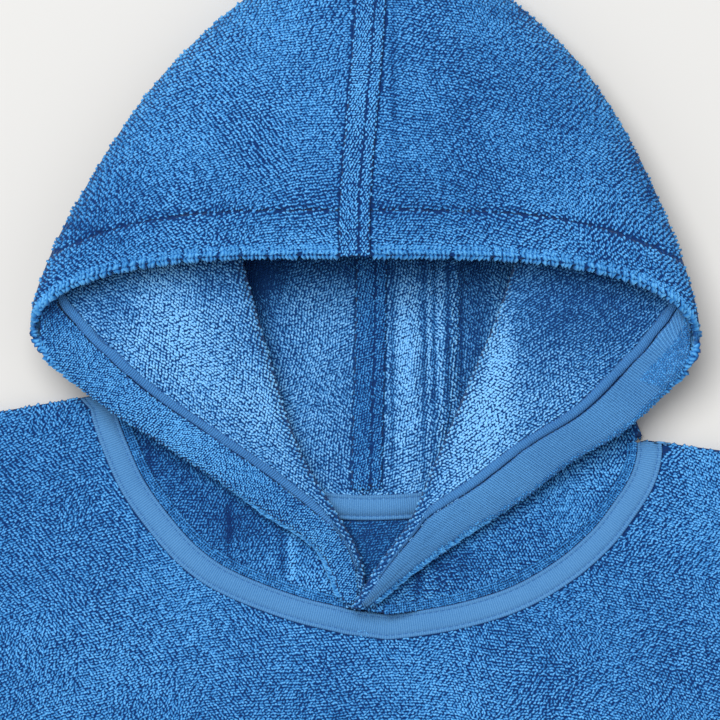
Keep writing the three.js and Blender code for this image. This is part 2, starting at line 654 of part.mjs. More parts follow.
// The felled centre seam, outside or inside the hood, from the brow over the crown and down the back
function seamFell(outside, width) {
  const stops = [
    ...[8, 7.5, 7.07, 7, 6.93, 6.5, 6, 5.5, 5, 4.5, 4, 3.5, 3, 2.5, 2, 1.5, 1, 0.5].map((i) => [i, 'crown']),
    [0, 'back'],
    ...[0.5, 1, 1.5, 2, 2.5, 3, 4.5, 6, 7.5, 9, 10, 10.75].map((i) => [i, 'back']),
  ];
  const place = ([i, where]) => {
    const seam = seamAt(i);
    return where === 'crown' ? [seam.crownX, seam.crownY, seam.crownZ] : [seam.backX, seam.backY, seam.backZ];
  };
  const points = stops.map(place);
  const across = [-1, -0.5, 0, 0.5, 1].map((t) => (t * width) / 2);
  const sign = outside ? 1 : -1;
  const grid = points.map((p, k) => {
    const q = points[Math.max(0, k - 1)];
    const o = points[Math.min(points.length - 1, k + 1)];
    const long = Math.hypot(o[1] - q[1], o[2] - q[2]);
    const normal = [-(o[2] - q[2]) / long, (o[1] - q[1]) / long];
    const [i, where] = stops[k];
    const near = Math.exp(-((i / 1.6) ** 2));
    const lift = WALL / 2 + SEAM_GAP + 0.3 * near + FELL_WALL / 2
      + (outside && where === 'crown' ? overHem(i) : 0);
    return across.map((x) => [
      p[0] + x,
      p[1] + normal[0] * lift * sign - 0.3 * near * (x / 6.5) ** 2,
      p[2] + normal[1] * lift * sign,
    ]);
  });
  return sheetGeometry(grid, () => true, () => FELL_WALL / 2, () => FELL_WALL / 2);
}

// Stations along a half's front edge, from the brow round the corner of the opening to the front of the neck
const EDGE_STOPS = [
  ...[0.3, 1.2, 2.2, 3.2, 4.2, 5.2, 6, 6.7, 7.3, 7.7].map((j) => [BROW_SECTION, j]),
  [BROW_SECTION, SIDE_TURN],
  ...[8.12, 8.27, 8.45, 8.7, 9, 9.5, 10, 10.5, 11, 11.5, 12, 12.5, 13, 13.5, 14, 14.4].map((i) => [i, SIDE_TURN]),
];

// The place on the surface at a distance in from the front edge
function inFromEdge(name, [i0, j0], distance) {
  const onCrown = clamp01((j0 - 6.2) / (SIDE_TURN - 6.2));
  const onSide = clamp01((i0 - BROW_SECTION) / 0.7);
  const turn = (ease(onCrown * 0.5 + onSide * 0.5) * Math.PI) / 2;
  const di = -Math.cos(turn);
  const dj = Math.sin(turn) * (LAPEL - SIDE_TURN);
  let walked = 0;
  let here = [i0, j0];
  let p = hoodPoint(name, ...here);
  while (walked < distance) {
    const next = [here[0] + di * 0.02, here[1] + dj * 0.02];
    if (next[1] > RIDGE - 0.5) {
      break;
    }
    const q = hoodPoint(name, ...next);
    walked += Math.hypot(q[0] - p[0], q[1] - p[1], q[2] - p[2]);
    here = next;
    p = q;
  }
  return { at: here, walked };
}

// A point moved off the hood's inner face
function offInside(name, [i, j], away) {
  const step = 0.05;
  const along = (di, dj) => new THREE.Vector3(...hoodPoint(name, i + di, j + dj));
  const onSide = i > BROW_SECTION;
  const sideStep = onSide && j - step < SIDE_TURN ? 0 : -step;
  const across = along(0, step).sub(along(0, sideStep));
  const downStep = !onSide && i + step > BROW_SECTION && j < SIDE_TURN ? 0 : step;
  const down = along(downStep, 0).sub(along(-step, 0));
  const normal = across.cross(down).normalize();
  const p = new THREE.Vector3(...hoodPoint(name, i, j));
  return p.addScaledVector(normal, away * side[name]).toArray();
}

// A strip laid on the hood's inner face between two distances from the front edge. It narrows with the
// turned-back side near the front of the neck, and stands off a little more in the tight corner of the opening.
function edgeStrip(name, stops, distances, wall) {
  const rooms = stops.map((stop) => Math.min(1, inFromEdge(name, stop, HEM_WIDTH + 2).walked / (HEM_WIDTH + 1)));
  const corner = ([i, j]) => Math.exp(-(((i - BROW_SECTION) / 0.7) ** 2) - ((SIDE_TURN - j) / 1.6) ** 2);
  const grid = distances.map((d) => stops.map((stop, k) => {
    const away = WALL / 2 + 0.45 + corner(stop) + wall / 2;
    return offInside(name, inFromEdge(name, stop, d * rooms[k] + corner(stop) * (1 - d / HEM_WIDTH)).at, away);
  }));
  return sheetGeometry(grid, () => true, () => wall / 2, () => wall / 2);
}

const towelling = () => new THREE.MeshStandardMaterial({ color: 0x3c7dc3, roughness: 0.95 });
const facing = () => new THREE.MeshStandardMaterial({ color: 0x4c88cc, roughness: 0.9 });
const tape = () => new THREE.MeshStandardMaterial({ color: 0x5288c9, roughness: 0.85 });

function part(name, geometry, material) {
  const mesh = new THREE.Mesh(geometry, material);
  mesh.name = name;
  return mesh;
}

const group = new THREE.Group();
group.name = 'hooded_bath_poncho';
group.add(part('body_back', bodyBack(), towelling()));
group.add(part('body_front', bodyFront(), towelling()));
group.add(part('hood_left', hoodHalf('left'), towelling()));
group.add(part('hood_right', hoodHalf('right'), towelling()));
group.add(part('hood_seam_outer', seamFell(true, FELL_WIDTH), towelling()));
group.add(part('hood_seam_inner', seamFell(false, FELL_WIDTH), towelling()));
['left', 'right'].forEach((name) => {
  const faced = [0.8, 5.5, 10, 15, HEM_WIDTH - 0.9];
  const taped = [0, 0.5, 1].map((t) => HEM_WIDTH + 0.4 + EDGE_TAPE_WIDTH * t);
  const tapeStops = EDGE_STOPS.filter(([i]) => i <= 12.5);
  group.add(part(`hood_facing_${name}`, edgeStrip(name, EDGE_STOPS, faced, TAPE_WALL), facing()));
  group.add(part(`hood_tape_${name}`, edgeStrip(name, tapeStops, taped, 0.8), tape()));
});
group.add(part('neck_tape_front', neckTapeFront(), tape()));
group.add(part('neck_tape_back', neckTapeBack(), tape()));

// The frame's origin is under the middle of the whole garment
const bounds = new THREE.Box3().setFromObject(group);
const middle = bounds.getCenter(new THREE.Vector3());
group.children.forEach((mesh) => mesh.geometry.translate(-middle.x, -middle.y, -bounds.min.z));

export default group;
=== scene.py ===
import math
import random

import bmesh
import bpy
import numpy as np
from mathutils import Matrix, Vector, noise


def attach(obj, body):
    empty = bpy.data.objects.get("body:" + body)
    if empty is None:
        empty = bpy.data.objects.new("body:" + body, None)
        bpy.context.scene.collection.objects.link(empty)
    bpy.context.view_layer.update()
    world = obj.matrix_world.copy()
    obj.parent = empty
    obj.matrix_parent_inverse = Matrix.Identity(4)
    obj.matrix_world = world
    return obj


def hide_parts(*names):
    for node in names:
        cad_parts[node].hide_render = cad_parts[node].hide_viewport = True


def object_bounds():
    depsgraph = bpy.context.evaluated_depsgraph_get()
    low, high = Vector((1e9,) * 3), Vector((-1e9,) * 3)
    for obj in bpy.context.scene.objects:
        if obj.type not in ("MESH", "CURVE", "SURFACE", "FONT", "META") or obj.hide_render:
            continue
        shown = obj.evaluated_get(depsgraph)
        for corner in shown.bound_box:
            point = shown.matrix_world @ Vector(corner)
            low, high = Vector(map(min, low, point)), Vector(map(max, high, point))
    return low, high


# Hooded bath poncho of towelling, laid face up on a table with its hood open.
# The garment's tables and sizes are in millimetres on the pattern's own origin. A mesh is in metres.

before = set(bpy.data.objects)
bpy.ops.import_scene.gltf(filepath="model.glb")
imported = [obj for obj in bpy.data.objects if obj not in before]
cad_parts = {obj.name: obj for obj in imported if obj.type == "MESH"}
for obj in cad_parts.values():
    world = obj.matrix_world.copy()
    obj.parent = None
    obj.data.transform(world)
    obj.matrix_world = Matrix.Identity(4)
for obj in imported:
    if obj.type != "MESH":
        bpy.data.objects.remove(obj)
cad_low, cad_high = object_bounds()

MM = 0.001

# Cloth and trimmings
CLOTH = 2.2
SEAM_GAP = 0.3
TAPE_WALL = 0.9
HEM_WIDTH = 20
NECK_TAPE_WIDTH = 11.7
EDGE_TAPE_WIDTH = 4.4
FELL_WIDTH = 13
FELL_WALL = 0.9
WALL = 2.6
THIN_WALL = 0.7
FACING_WALL = 0.72

# Body
HEM_Y = -975
ARM_OPENING = 265
PANEL_HEM = 18
BACK_Z = WALL / 2
FRONT_Z = 4.9

# Shoulder lines, from the neck out to the side of the body
SHOULDER = {
    "left": {"neck": (-116.4, 12), "outer": (-396, -36)},
    "right": {"neck": (125.6, -9), "outer": (404, -47)},
}
SIGN = {"left": -1, "right": 1}

# Columns of the hood's surface, counted from its centre or front edge round to its centre back or neck edge
SIDE_TURN = 8
LAPEL = 11
RIDGE = 17
UNDER = 21
BACK_TURN = 25
BACK_WALL = 29
LAST_COLUMN = 34

# Sections of the hood, counted from the top of the crown down to the front of the neck
STITCH_SECTION = 7
BROW = 8
SHOULDER_SECTION = 11
NECK_SECTION = 15

# Where the middle of the pattern's frame lies on the table
ORIGIN = Vector((cad_low.x + 0.396, cad_low.y + 0.975, 0))

# The centre seam, a row per section: where the crown and the back wall meet it
SEAM_COLUMNS = ("at", "crown_x", "crown_y", "crown_z", "back_x", "back_y", "back_z")
SEAM = [
    (0, 4.6, 210.9, 13, 4.6, 210.9, 13),
    (1, 4.3, 207.6, 22, 4.6, 208.2, 5.4),
    (2, 3.6, 199, 30, 4.4, 200, 3.1),
    (3, 2.4, 184, 37, 4.2, 185, 2.85),
    (4, 1.0, 163, 43.5, 3.9, 162, 2.85),
    (5, -1.0, 140, 48, 3.6, 137, 2.85),
    (6, -3.0, 117, 50.5, 3.4, 112, 2.85),
    (7, -4.5, 93.8, 50.5, 3.1, 86, 2.85),
    (8, -4.5, 73.4, 48.5, 2.8, 60, 2.85),
    (9, -4.5, 73.4, 48.5, 2.2, 27, 2.85),
    (10, -4.5, 73.4, 48.5, 1.2, -6, 2.85),
    (11, -4.5, 73.4, 48.5, 0.5, -39.5, 2.85),
]

# Each half of the hood, a row per section.
# side: the turn at the outline, which below the brow is the free front edge. ridge: the inner fold of the
# turned-back side. back: the turn where the side meets the back wall. fold: how far the two folds are formed.
HALF_COLUMNS = (
    "at", "side_x", "side_y", "side_z", "reach", "under_z",
    "ridge_x", "ridge_y", "ridge_high", "ridge_low", "back_x", "back_y", "back_high", "fold",
)
HALF = {
    "left": [
        (0, 4.6, 210.9, 13, 0, 13, 4.6, 210.9, 13, 13, 4.6, 210.9, 13, 0),
        (1, -8, 209.1, 13, 4, 6, -4, 206, 5.6, 5.6, -3, 206, 5.5, 0),
        (2, -22, 204.6, 13, 9, 3.2, -14, 198, 3, 2.4, -12, 198, 2.5, 0),
        (3, -46.5, 192.6, 13.5, 14, 2.4, -32, 183, 3.4, 2.6, -28, 182, 3, 0),
        (4, -70.5, 173.6, 15, 18, 4.5, -54, 160, 8, 5, -50, 159, 6, 0),
        (5, -94, 149, 18, 20, 10, -66, 134, 14, 7.4, -66, 134, 7, 0.25),
        (6, -117, 115.5, 22.5, 20, 16.5, -64.6, 111, 20, 9.4, -70, 112, 7.4, 0.75),
        (7, -139.6, 73.6, 28, 20, 21.5, -60.6, 91, 23, 11, -74, 92, 7.6, 1),
        (8, -148, 40, 31, 20, 23, -56, 72.2, 24, 11.6, -79, 72, 7.6, 1),
        (9, -133.7, 21.8, 25.5, 20, 23, -49.8, 49.2, 23, 11, -89, 51, 7.6, 1),
        (10, -112.6, 4.0, 22, 20, 21.5, -43.2, 25.8, 20.5, 10, -102, 31, 7.2, 1),
        (11, -89.1, -11, 18.5, 20, 19.5, -36.2, 2.3, 18, 9, -114.5, 10, 6.2, 1),
        (12, -65.9, -26.3, 16, 17, 17.3, -27.8, -18.7, 16, 8.4, 0, 0, 0, 1),
        (13, -43, -41.8, 14, 12, 15, -14.6, -40.6, 14, 7.8, 0, 0, 0, 1),
        (14, -20.4, -57.8, 10.6, 6.5, 11, -3, -61.6, 10.4, 6.2, 0, 0, 0, 1),
        (15, -8.4, -84.2, 8.2, 2.6, 8.4, 0, -84.7, 8.4, 4.8, 0, 0, 0, 1),
    ],
    "right": [
        (0, 4.6, 210.9, 13, 0, 13, 4.6, 210.9, 13, 13, 4.6, 210.9, 13, 0),
        (1, 17.2, 209.1, 13, 4, 6, 13, 206, 5.6, 5.6, 12, 206, 5.5, 0),
        (2, 31.6, 204.6, 13, 9, 3.2, 23.5, 198, 3, 2.4, 21.5, 198, 2.5, 0),
        (3, 56.4, 193, 13.5, 14, 2.4, 42, 183, 3.4, 2.6, 38, 182, 3, 0),
        (4, 79.8, 175, 15, 18, 4.5, 63, 160, 8, 5, 59, 159, 6, 0),
        (5, 101, 151.6, 18, 20, 10, 74, 134, 14, 7.4, 74, 134, 7, 0.25),
        (6, 121.6, 117.2, 22.5, 20, 16.5, 73.5, 110, 20, 9.4, 79.5, 110, 7.4, 0.75),
        (7, 141.2, 70.6, 28, 20, 21.5, 70.6, 88, 23, 11, 84.5, 89, 7.6, 1),
        (8, 148.2, 34.5, 31, 20, 23, 67.2, 68.6, 24, 11.6, 90, 68, 7.6, 1),
        (9, 136.2, 16.6, 25.5, 20, 23, 59.8, 45.6, 23, 11, 100, 45, 7.6, 1),
        (10, 116, -3.7, 22, 20, 21.5, 50.2, 22.8, 20.5, 10, 112, 21, 7.2, 1),
        (11, 91.7, -18.5, 18.5, 20, 19.5, 40.8, 0.2, 18, 9, 123.6, -7.5, 6.2, 1),
        (12, 68.9, -35.8, 16, 17, 17.4, 31, -22.2, 16, 8.4, 0, 0, 0, 1),
        (13, 44.6, -50.4, 15, 10.5, 16, 21.4, -44.9, 15.8, 9.4, 0, 0, 0, 1),
        (14, 21.2, -66.7, 17, 5.5, 17.4, 7.4, -64.6, 17.4, 12.4, 0, 0, 0, 1),
        (15, -0.9, -84.6, 15.8, 1, 15.9, -5.2, -84.4, 16, 12.2, 0, 0, 0, 1),
    ],
}

# The front neck seam from each shoulder to the front of the neck
NECK = {
    "left": [
        (-110.7, 2.25), (-106.2, -10.4), (-98.1, -27.9), (-83.7, -47.3), (-71.1, -59.8),
        (-55.8, -68.9), (-30.2, -78.6), (-6, -84.6),
    ],
    "right": [
        (121.6, -14.5), (118.8, -24.8), (111.2, -36.9), (101.3, -49.5), (85.5, -63),
        (64.8, -74.7), (39.2, -82.4), (13, -86.4), (7, -86.2),
    ],
}

# Soft folds of the body front: centre x and y, direction in degrees, half length, half width, height
FRONT_FOLDS = [
    (-150, -95, 62, 120, 34, 3.2),
    (-245, -190, 50, 150, 45, 3.6),
    (105, -150, 118, 110, 36, 2.8),
    (215, -230, 128, 170, 48, 3.8),
    (-60, -330, 84, 190, 44, 3.4),
    (90, -470, 96, 210, 50, 3.6),
    (-210, -560, 80, 220, 48, 4.2),
    (250, -640, 99, 220, 46, 4),
    (-20, -760, 90, 170, 52, 3.4),
]

# Ridges of the hood's back wall, right of the seam: x at the brow, x at the neck, half width, height
BACK_RIDGES = [(27, 26, 4.2, 4.2), (39, 33, 4.6, 4.8)]


def clamp01(t):
    return min(1.0, max(0.0, t))


def mix(a, b, t):
    return a + (b - a) * t


def ease(t):
    t = clamp01(t)
    return t * t * (3 - 2 * t)


def mix_point(p, q, t):
    return tuple(mix(a, b, t) for a, b in zip(p, q))


def to_table(p):
    """A pattern point in millimetres as a place on the table in metres."""
    return Vector((p[0] * MM, p[1] * MM, p[2] * MM)) + ORIGIN


def through(rows, t):
    """Every column of a table at position t, on a smooth curve through its rows."""
    last = len(rows) - 1
    at = min(last, max(0.0, t - rows[0][0]))
    k = min(last - 1, int(at))
    f = at - k
    before, here, after = rows[max(0, k - 1)], rows[k], rows[k + 1]
    beyond = rows[min(last, k + 2)]
    a = 2 * f ** 3 - 3 * f ** 2 + 1
    b = f ** 3 - 2 * f ** 2 + f
    c = 3 * f ** 2 - 2 * f ** 3
    d = f ** 3 - f ** 2
    values = []
    for p0, p1, p2, p3 in zip(before, here, after, beyond):
        start = p2 - p1 if k == 0 else (p2 - p0) / 2
        end = p2 - p1 if k == last - 1 else (p3 - p1) / 2
        values.append(a * p1 + b * start + c * p2 + d * end)
    return values


kept_rows = {}


def seam_at(i):
    key = ("seam", min(i, SHOULDER_SECTION))
    if key not in kept_rows:
        kept_rows[key] = dict(zip(SEAM_COLUMNS, through(SEAM, key[1])))
    return kept_rows[key]


def half_at(side, i):
    """One half's row at section i. The back turn ends at the shoulder, and its last row holds below."""
    key = (side, i)
    if key not in kept_rows:
        full = dict(zip(HALF_COLUMNS, through(HALF[side], i)))
        if i > SHOULDER_SECTION - 1:
            upper = HALF[side][:SHOULDER_SECTION + 1]
            end = dict(zip(HALF_COLUMNS, through(upper, min(i, SHOULDER_SECTION))))
            for name in ("back_x", "back_y", "back_high"):
                full[name] = end[name]
        kept_rows[key] = full
    return kept_rows[key]


def plan_unit(p, q):
    """Direction from one point to another, seen from above."""
    x, y = q[0] - p[0], q[1] - p[1]
    long = math.hypot(x, y) or 1
    return (x / long, y / long)


def turn_start(side, i):
    """Where the side's lower layer reaches the shoulder turn."""
    h = half_at(side, i)
    radius = (h["back_high"] - BACK_Z) / 2
    d = plan_unit((h["back_x"], h["back_y"]), (h["ridge_x"], h["ridge_y"]))
    return (h["back_x"] + d[0] * radius, h["back_y"] + d[1] * radius, h["back_high"])


neck_curves = {}


def neck_point(side, f):
    """The front neck seam by length, 0 at the shoulder and 1 at the front of the neck."""
    if side not in neck_curves:
        start = turn_start(side, SHOULDER_SECTION)
        rows = [(k, *p) for k, p in enumerate([start[:2], *NECK[side]])]
        points = [through(rows, k / 8)[1:] for k in range((len(rows) - 1) * 8 + 1)]
        lengths = [0]
        for p, q in zip(points, points[1:]):
            lengths.append(lengths[-1] + math.dist(p, q))
        neck_curves[side] = (points, lengths)
    points, lengths = neck_curves[side]
    want = clamp01(f) * lengths[-1]
    k = 1
    while k < len(points) - 1 and lengths[k] < want:
        k += 1
    t = (want - lengths[k - 1]) / (lengths[k] - lengths[k - 1])
    return mix_point(points[k - 1], points[k], t)


def neck_seam_z(side, f):
    """Height of the neck seam at the front, where the right side crosses over the left one."""
    crossing = 7 * ease((f - 0.84) / 0.14) if side == "right" else 0
    return mix(turn_start(side, SHOULDER_SECTION)[2], FRONT_Z, ease(f / 0.12)) + crossing


def crown_point(side, i, s):
    """A point of the crown, 0 at the seam and 1 at the outline."""
    seam, h = seam_at(i), half_at(side, i)
    across = math.sin(s * math.pi / 2)
    start_x = seam["crown_x"] + SIGN[side] * SEAM_GAP / 2
    fall = mix(2, 3.8, ease((i - 2) / 5))
    hook = 0.4 * ease(i - STITCH_SECTION)
    return (
        mix(start_x, h["side_x"], across),
        mix(seam["crown_y"], h["side_y"], mix(across ** fall, s ** 7, hook)),
        mix(h["side_z"], seam["crown_z"], math.sqrt(max(0, 1 - across ** 2.4))),
    )


def plain_point(side, i, s):
    """The layer under the crown without folds, from the outline straight in to the back seam."""
    h, end = half_at(side, i), seam_at(i)
    end_x = end["back_x"] + SIGN[side] * SEAM_GAP / 2
    d = plan_unit((h["side_x"], h["side_y"]), (end_x, end["back_y"]))
    return (
        mix(h["side_x"] + d[0] * h["reach"], end_x, s),
        mix(h["side_y"] + d[1] * h["reach"], end["back_y"], s),
        mix(h["under_z"], end["back_z"], ease(s * 1.6)),
    )


def folded_point(side, i, j):
    """The layers under the crown with both folds formed, or the turned-back side and what is under it."""
    h = half_at(side, i)
    ridge = (h["ridge_x"], h["ridge_y"])
    inward = plan_unit((h["side_x"], h["side_y"]), ridge)
    top = (h["ridge_high"] - h["ridge_low"]) / 2
    start = (h["side_x"] + inward[0] * h["reach"], h["side_y"] + inward[1] * h["reach"], h["under_z"])
    high = (ridge[0] - inward[0] * top, ridge[1] - inward[1] * top, h["ridge_high"])
    if j <= RIDGE:
        s = (j - LAPEL) / (RIDGE - LAPEL)
        p = mix_point(start, high, s)
        long = math.hypot(high[0] - start[0], high[1] - start[1])
        return (p[0], p[1], p[2] + min(2, long * 0.05) * math.sin(math.pi * s))
    if i <= SHOULDER_SECTION:
        end = turn_start(side, i)
    else:
        f = (i - SHOULDER_SECTION) / (NECK_SECTION - SHOULDER_SECTION)
        end = (*neck_point(side, f), neck_seam_z(side, f))
    outward = plan_unit(ridge, end)
    if j <= UNDER:
        angle = math.pi * (j - RIDGE) / (UNDER - RIDGE)
        along, back = (inward, -1) if angle < math.pi / 2 else (outward, 1)
        reach = top * (1 - math.sin(angle)) * back
        middle = (h["ridge_high"] + h["ridge_low"]) / 2
        return (ridge[0] + along[0] * reach, ridge[1] + along[1] * reach, middle + top * math.cos(angle))
    if j <= BACK_TURN:
        s = (j - UNDER) / (BACK_TURN - UNDER)
        low = (ridge[0] + outward[0] * top, ridge[1] + outward[1] * top, h["ridge_low"])
        return (mix(low[0], end[0], s), mix(low[1], end[1], s), mix(low[2], end[2], ease(s)))
    radius = (h["back_high"] - BACK_Z) / 2
    seam = seam_at(i)
    end_x = seam["back_x"] + SIGN[side] * SEAM_GAP / 2
    turned = plan_unit((h["back_x"], h["back_y"]), (end_x, h["back_y"]))
    if j <= BACK_WALL:
        angle = math.pi * (j - BACK_TURN) / (BACK_WALL - BACK_TURN)
        along = (-outward[0], -outward[1]) if angle < math.pi / 2 else turned
        reach = radius * (1 - math.sin(angle))
        middle = (h["back_high"] + BACK_Z) / 2
        return (
            h["back_x"] + along[0] * reach,
            h["back_y"] + along[1] * reach,
            middle + radius * math.cos(angle),
        )
    s = (j - BACK_WALL) / (LAST_COLUMN - BACK_WALL)
    curve = mix(1.4, 2.1, ease((i - BROW) / 3))
    return (
        mix(h["back_x"] + turned[0] * radius, end_x, s),
        mix(seam["back_y"], h["back_y"], (1 - s) ** curve),
        mix(BACK_Z, seam["back_z"], ease(s)),
    )


def back_ridges(side, p, i):
    """Soft ridges that stand on the hood's back wall."""
    if side != "right" or i < 4:
        return 0
    down = clamp01((85 - p[1]) / 110)
    fade = ease((i - 4) / 2) * ease((p[1] + 30) / 40)
    total = 0
    for top, foot, wide, high in BACK_RIDGES:
        off = (p[0] - mix(top, foot, down)) / mix(wide, wide * 0.6, down)
        total += high * math.exp(-off * off) * fade
    return total


def hood_point(side, i, j):
    """A point of one half of the hood, section i and column j."""
    if i == 0:
        return crown_point(side, 0, 0)
    if j <= SIDE_TURN:
        return crown_point(side, i, j / SIDE_TURN)
    h = half_at(side, i)

    def lower_at(column):
        folded = folded_point(side, i, column) if h["fold"] > 0 else None
        if h["fold"] < 1 and i < SHOULDER_SECTION:
            plain = plain_point(side, i, (column - LAPEL) / (LAST_COLUMN - LAPEL))
            return mix_point(plain, folded or plain, clamp01(h["fold"]))
        return folded

    if j <= LAPEL:
        inner, beyond = lower_at(LAPEL), lower_at(LAPEL + 0.5)
        s = (j - SIDE_TURN) / (LAPEL - SIDE_TURN)
        turned = 1 - ease(i - BROW)
        angle = s * math.pi / 2
        across = mix(s, 1 - math.cos(angle), turned)
        drop = mix(ease(s), math.sin(angle), turned)
        return (
            mix(h["side_x"], inner[0], across),
            mix(h["side_y"], inner[1], across),
            mix(h["side_z"], inner[2], drop) + (beyond[2] - inner[2]) * 0.4 * (s * s - s),
        )
    p = lower_at(j)
    if j > BACK_WALL:
        return (p[0], p[1], p[2] + back_ridges(side, p, i))
    return p


def hem_amount(x, y):
    """Amount of turned hem at a place on a body panel: the foot and the arm openings are hemmed."""
    foot = 1 - ease((y - HEM_Y - PANEL_HEM) / 4)
    to_side = min(x - SHOULDER["left"]["outer"][0], SHOULDER["right"]["outer"][0] - x)
    top = SHOULDER["left" if x < 0 else "right"]["outer"][1]
    armhole = (1 - ease((to_side - PANEL_HEM) / 4)) * ease((y - (top - ARM_OPENING)) / 30)
    return max(foot, armhole)


def front_z(x, y):
    """Middle of the front panel's wall over the table."""
    to_side = min(x - SHOULDER["left"]["outer"][0], SHOULDER["right"]["outer"][0] - x)
    seamed = mix(BACK_Z * 3 + 0.35, FRONT_Z, ease(to_side / 16))
    inside = ease(to_side / 90) * ease((y - HEM_Y) / 90) * ease((-30 - y) / 70)
    folds = 0
    for fold_x, fold_y, turn, long, wide, high in FRONT_FOLDS:
        c, s = math.cos(math.radians(turn)), math.sin(math.radians(turn))
        along = ((x - fold_x) * c + (y - fold_y) * s) / long
        off = (-(x - fold_x) * s + (y - fold_y) * c) / wide
        folds += high * math.exp(-along * along - off * off)
    return seamed + folds * inside + 2.4 * hem_amount(x, y) * mix(1, 0.8, ease(to_side / 16))


def neck_edge(side, f, out):
    """A point of the body beside the front neck seam, at a distance out from it."""
    if f <= 0:
        d = plan_unit(SHOULDER[side]["neck"], SHOULDER[side]["outer"])
        corner = SHOULDER[side]["neck"]
        return (corner[0] + d[0] * out, corner[1] + d[1] * out)
    p = neck_point(side, f)
    d = plan_unit(neck_point(side, f - 0.02), neck_point(side, min(1, f + 0.02)))
    reach = (SEAM_GAP + out) * -SIGN[side]
    return (p[0] + d[1] * reach, p[1] - d[0] * reach)


def back_neck_edge(side, s):
    """A point of the back neck seam and the way down from it."""
    j = mix(BACK_WALL, LAST_COLUMN, s)
    p = hood_point(side, SHOULDER_SECTION, j)
    q = hood_point(side, SHOULDER_SECTION, min(LAST_COLUMN, j + 0.2))
    o = hood_point(side, SHOULDER_SECTION, max(BACK_WALL, j - 0.2))
    d = plan_unit(o, q)
    return p, (d[1] * -SIGN[side], -d[0] * -SIGN[side])


# Making a sheet from a plain grid


def steps(start, end, count):
    return [mix(start, end, k / count) for k in range(count + 1)]


def sheet(name, points, kept=None, flip=False):
    """A grid of the size of points, moved to them. Its UV runs along and across the cloth in metres."""
    rows, columns = len(points), len(points[0])
    bm = bmesh.new()
    bmesh.ops.create_grid(bm, x_segments=columns - 1, y_segments=rows - 1, size=0.5)
    seat = {}
    for v in bm.verts:
        seat[v] = (round((v.co.y + 0.5) * (rows - 1)), round((v.co.x + 0.5) * (columns - 1)))
    if kept:
        spare = []
        for face in bm.faces:
            r, c = (min(seat[v][k] for v in face.verts) for k in (0, 1))
            if not kept(r, c):
                spare.append(face)
        bmesh.ops.delete(bm, geom=spare, context="FACES")
    along, across = [0.0], [0.0]
    for c in range(1, columns):
        along.append(along[-1] + math.dist(points[rows // 2][c], points[rows // 2][c - 1]) * MM)
    for r in range(1, rows):
        across.append(across[-1] + math.dist(points[r][columns // 2], points[r - 1][columns // 2]) * MM)
    uv = bm.loops.layers.uv.new("UVMap")
    for face in bm.faces:
        for loop in face.loops:
            r, c = seat[loop.vert]
            loop[uv].uv = (along[c], across[r])
    for v in bm.verts:
        r, c = seat[v]
        v.co = to_table(points[r][c])
    bmesh.ops.remove_doubles(bm, verts=bm.verts, dist=0.00001)
    if flip:
        bmesh.ops.reverse_faces(bm, faces=bm.faces)
    for face in bm.faces:
        face.smooth = True
    return finished_piece(name, bm)


def mark(piece, name, amount):
    """Writes a named amount on every vertex, worked out from its place in the pattern."""
    values = piece.data.attributes.new(name, "FLOAT", "POINT")
    values.data.foreach_set("value", [amount((v.co - ORIGIN) / MM) for v in piece.data.vertices])


def finished_piece(name, bm):
    mesh = bpy.data.meshes.new(name)
    bm.to_mesh(mesh)
    bm.free()
    piece = bpy.data.objects.new(name, mesh)
    bpy.context.scene.collection.objects.link(piece)
    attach(piece, "root")
    return piece


def dressed(piece, finishes, wall, node, offset=0):
    """Gives a sheet its finishes, the outer one first, and its wall, and puts it in place of a CAD node."""
    for finish in finishes:
        piece.data.materials.append(finish)
    solid = piece.modifiers.new("wall", "SOLIDIFY")
    solid.thickness = wall * MM
    solid.offset = offset
    solid.use_rim = True
    solid.material_offset = len(finishes) - 1
    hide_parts(node)
    return piece


def grid_normal(points, r, c):
    """Direction square to a grid at one of its points."""
    rows, columns = len(points), len(points[0])
    a = Vector(points[r][min(columns - 1, c + 1)]) - Vector(points[r][max(0, c - 1)])
    b = Vector(points[min(rows - 1, r + 1)][c]) - Vector(points[max(0, r - 1)][c])
    n = a.cross(b)
    return n.normalized() if n.length > 1e-9 else Vector((0, 0, 1))


# Pile: every loop of the towelling is a small bent grain, seated on the cloth in rows

# Spacing of loops along a row and of rows, and a usual loop's half length, half width and height
ROW_PITCH = 1.45
ROW_GAP = 1.22
LOOP_LONG = 0.986
LOOP_WIDE = 0.6832
LOOP_HIGH = 0.95

DRAWS = 4093
shuffle = random.Random(7)
CHANCE = [[shuffle.random() for _ in range(6)] for _ in range(DRAWS)]


def chance(a, b):
    """The same six draws each time for one place in the rows."""
    return CHANCE[(a * 7919 + b * 104729) % DRAWS]


def grain_shape():
    """One loop as (along, across, up, tip): a foot of six points and a short ridge, and its faces."""
    points = []
    for k in range(6):
        angle = 2 * math.pi * (k + 0.5) / 6
        points.append((math.cos(angle), math.sin(angle), -0.3, 0.12))
    points += [(0.42, 0, 1, 1), (-0.42, 0, 1, 1)]
    faces = [
        (0, 1, 6), (1, 7, 6), (1, 2, 7), (2, 3, 7),
        (3, 4, 7), (4, 6, 7), (4, 5, 6), (5, 0, 6),
    ]
    return np.array(points), np.array(faces)


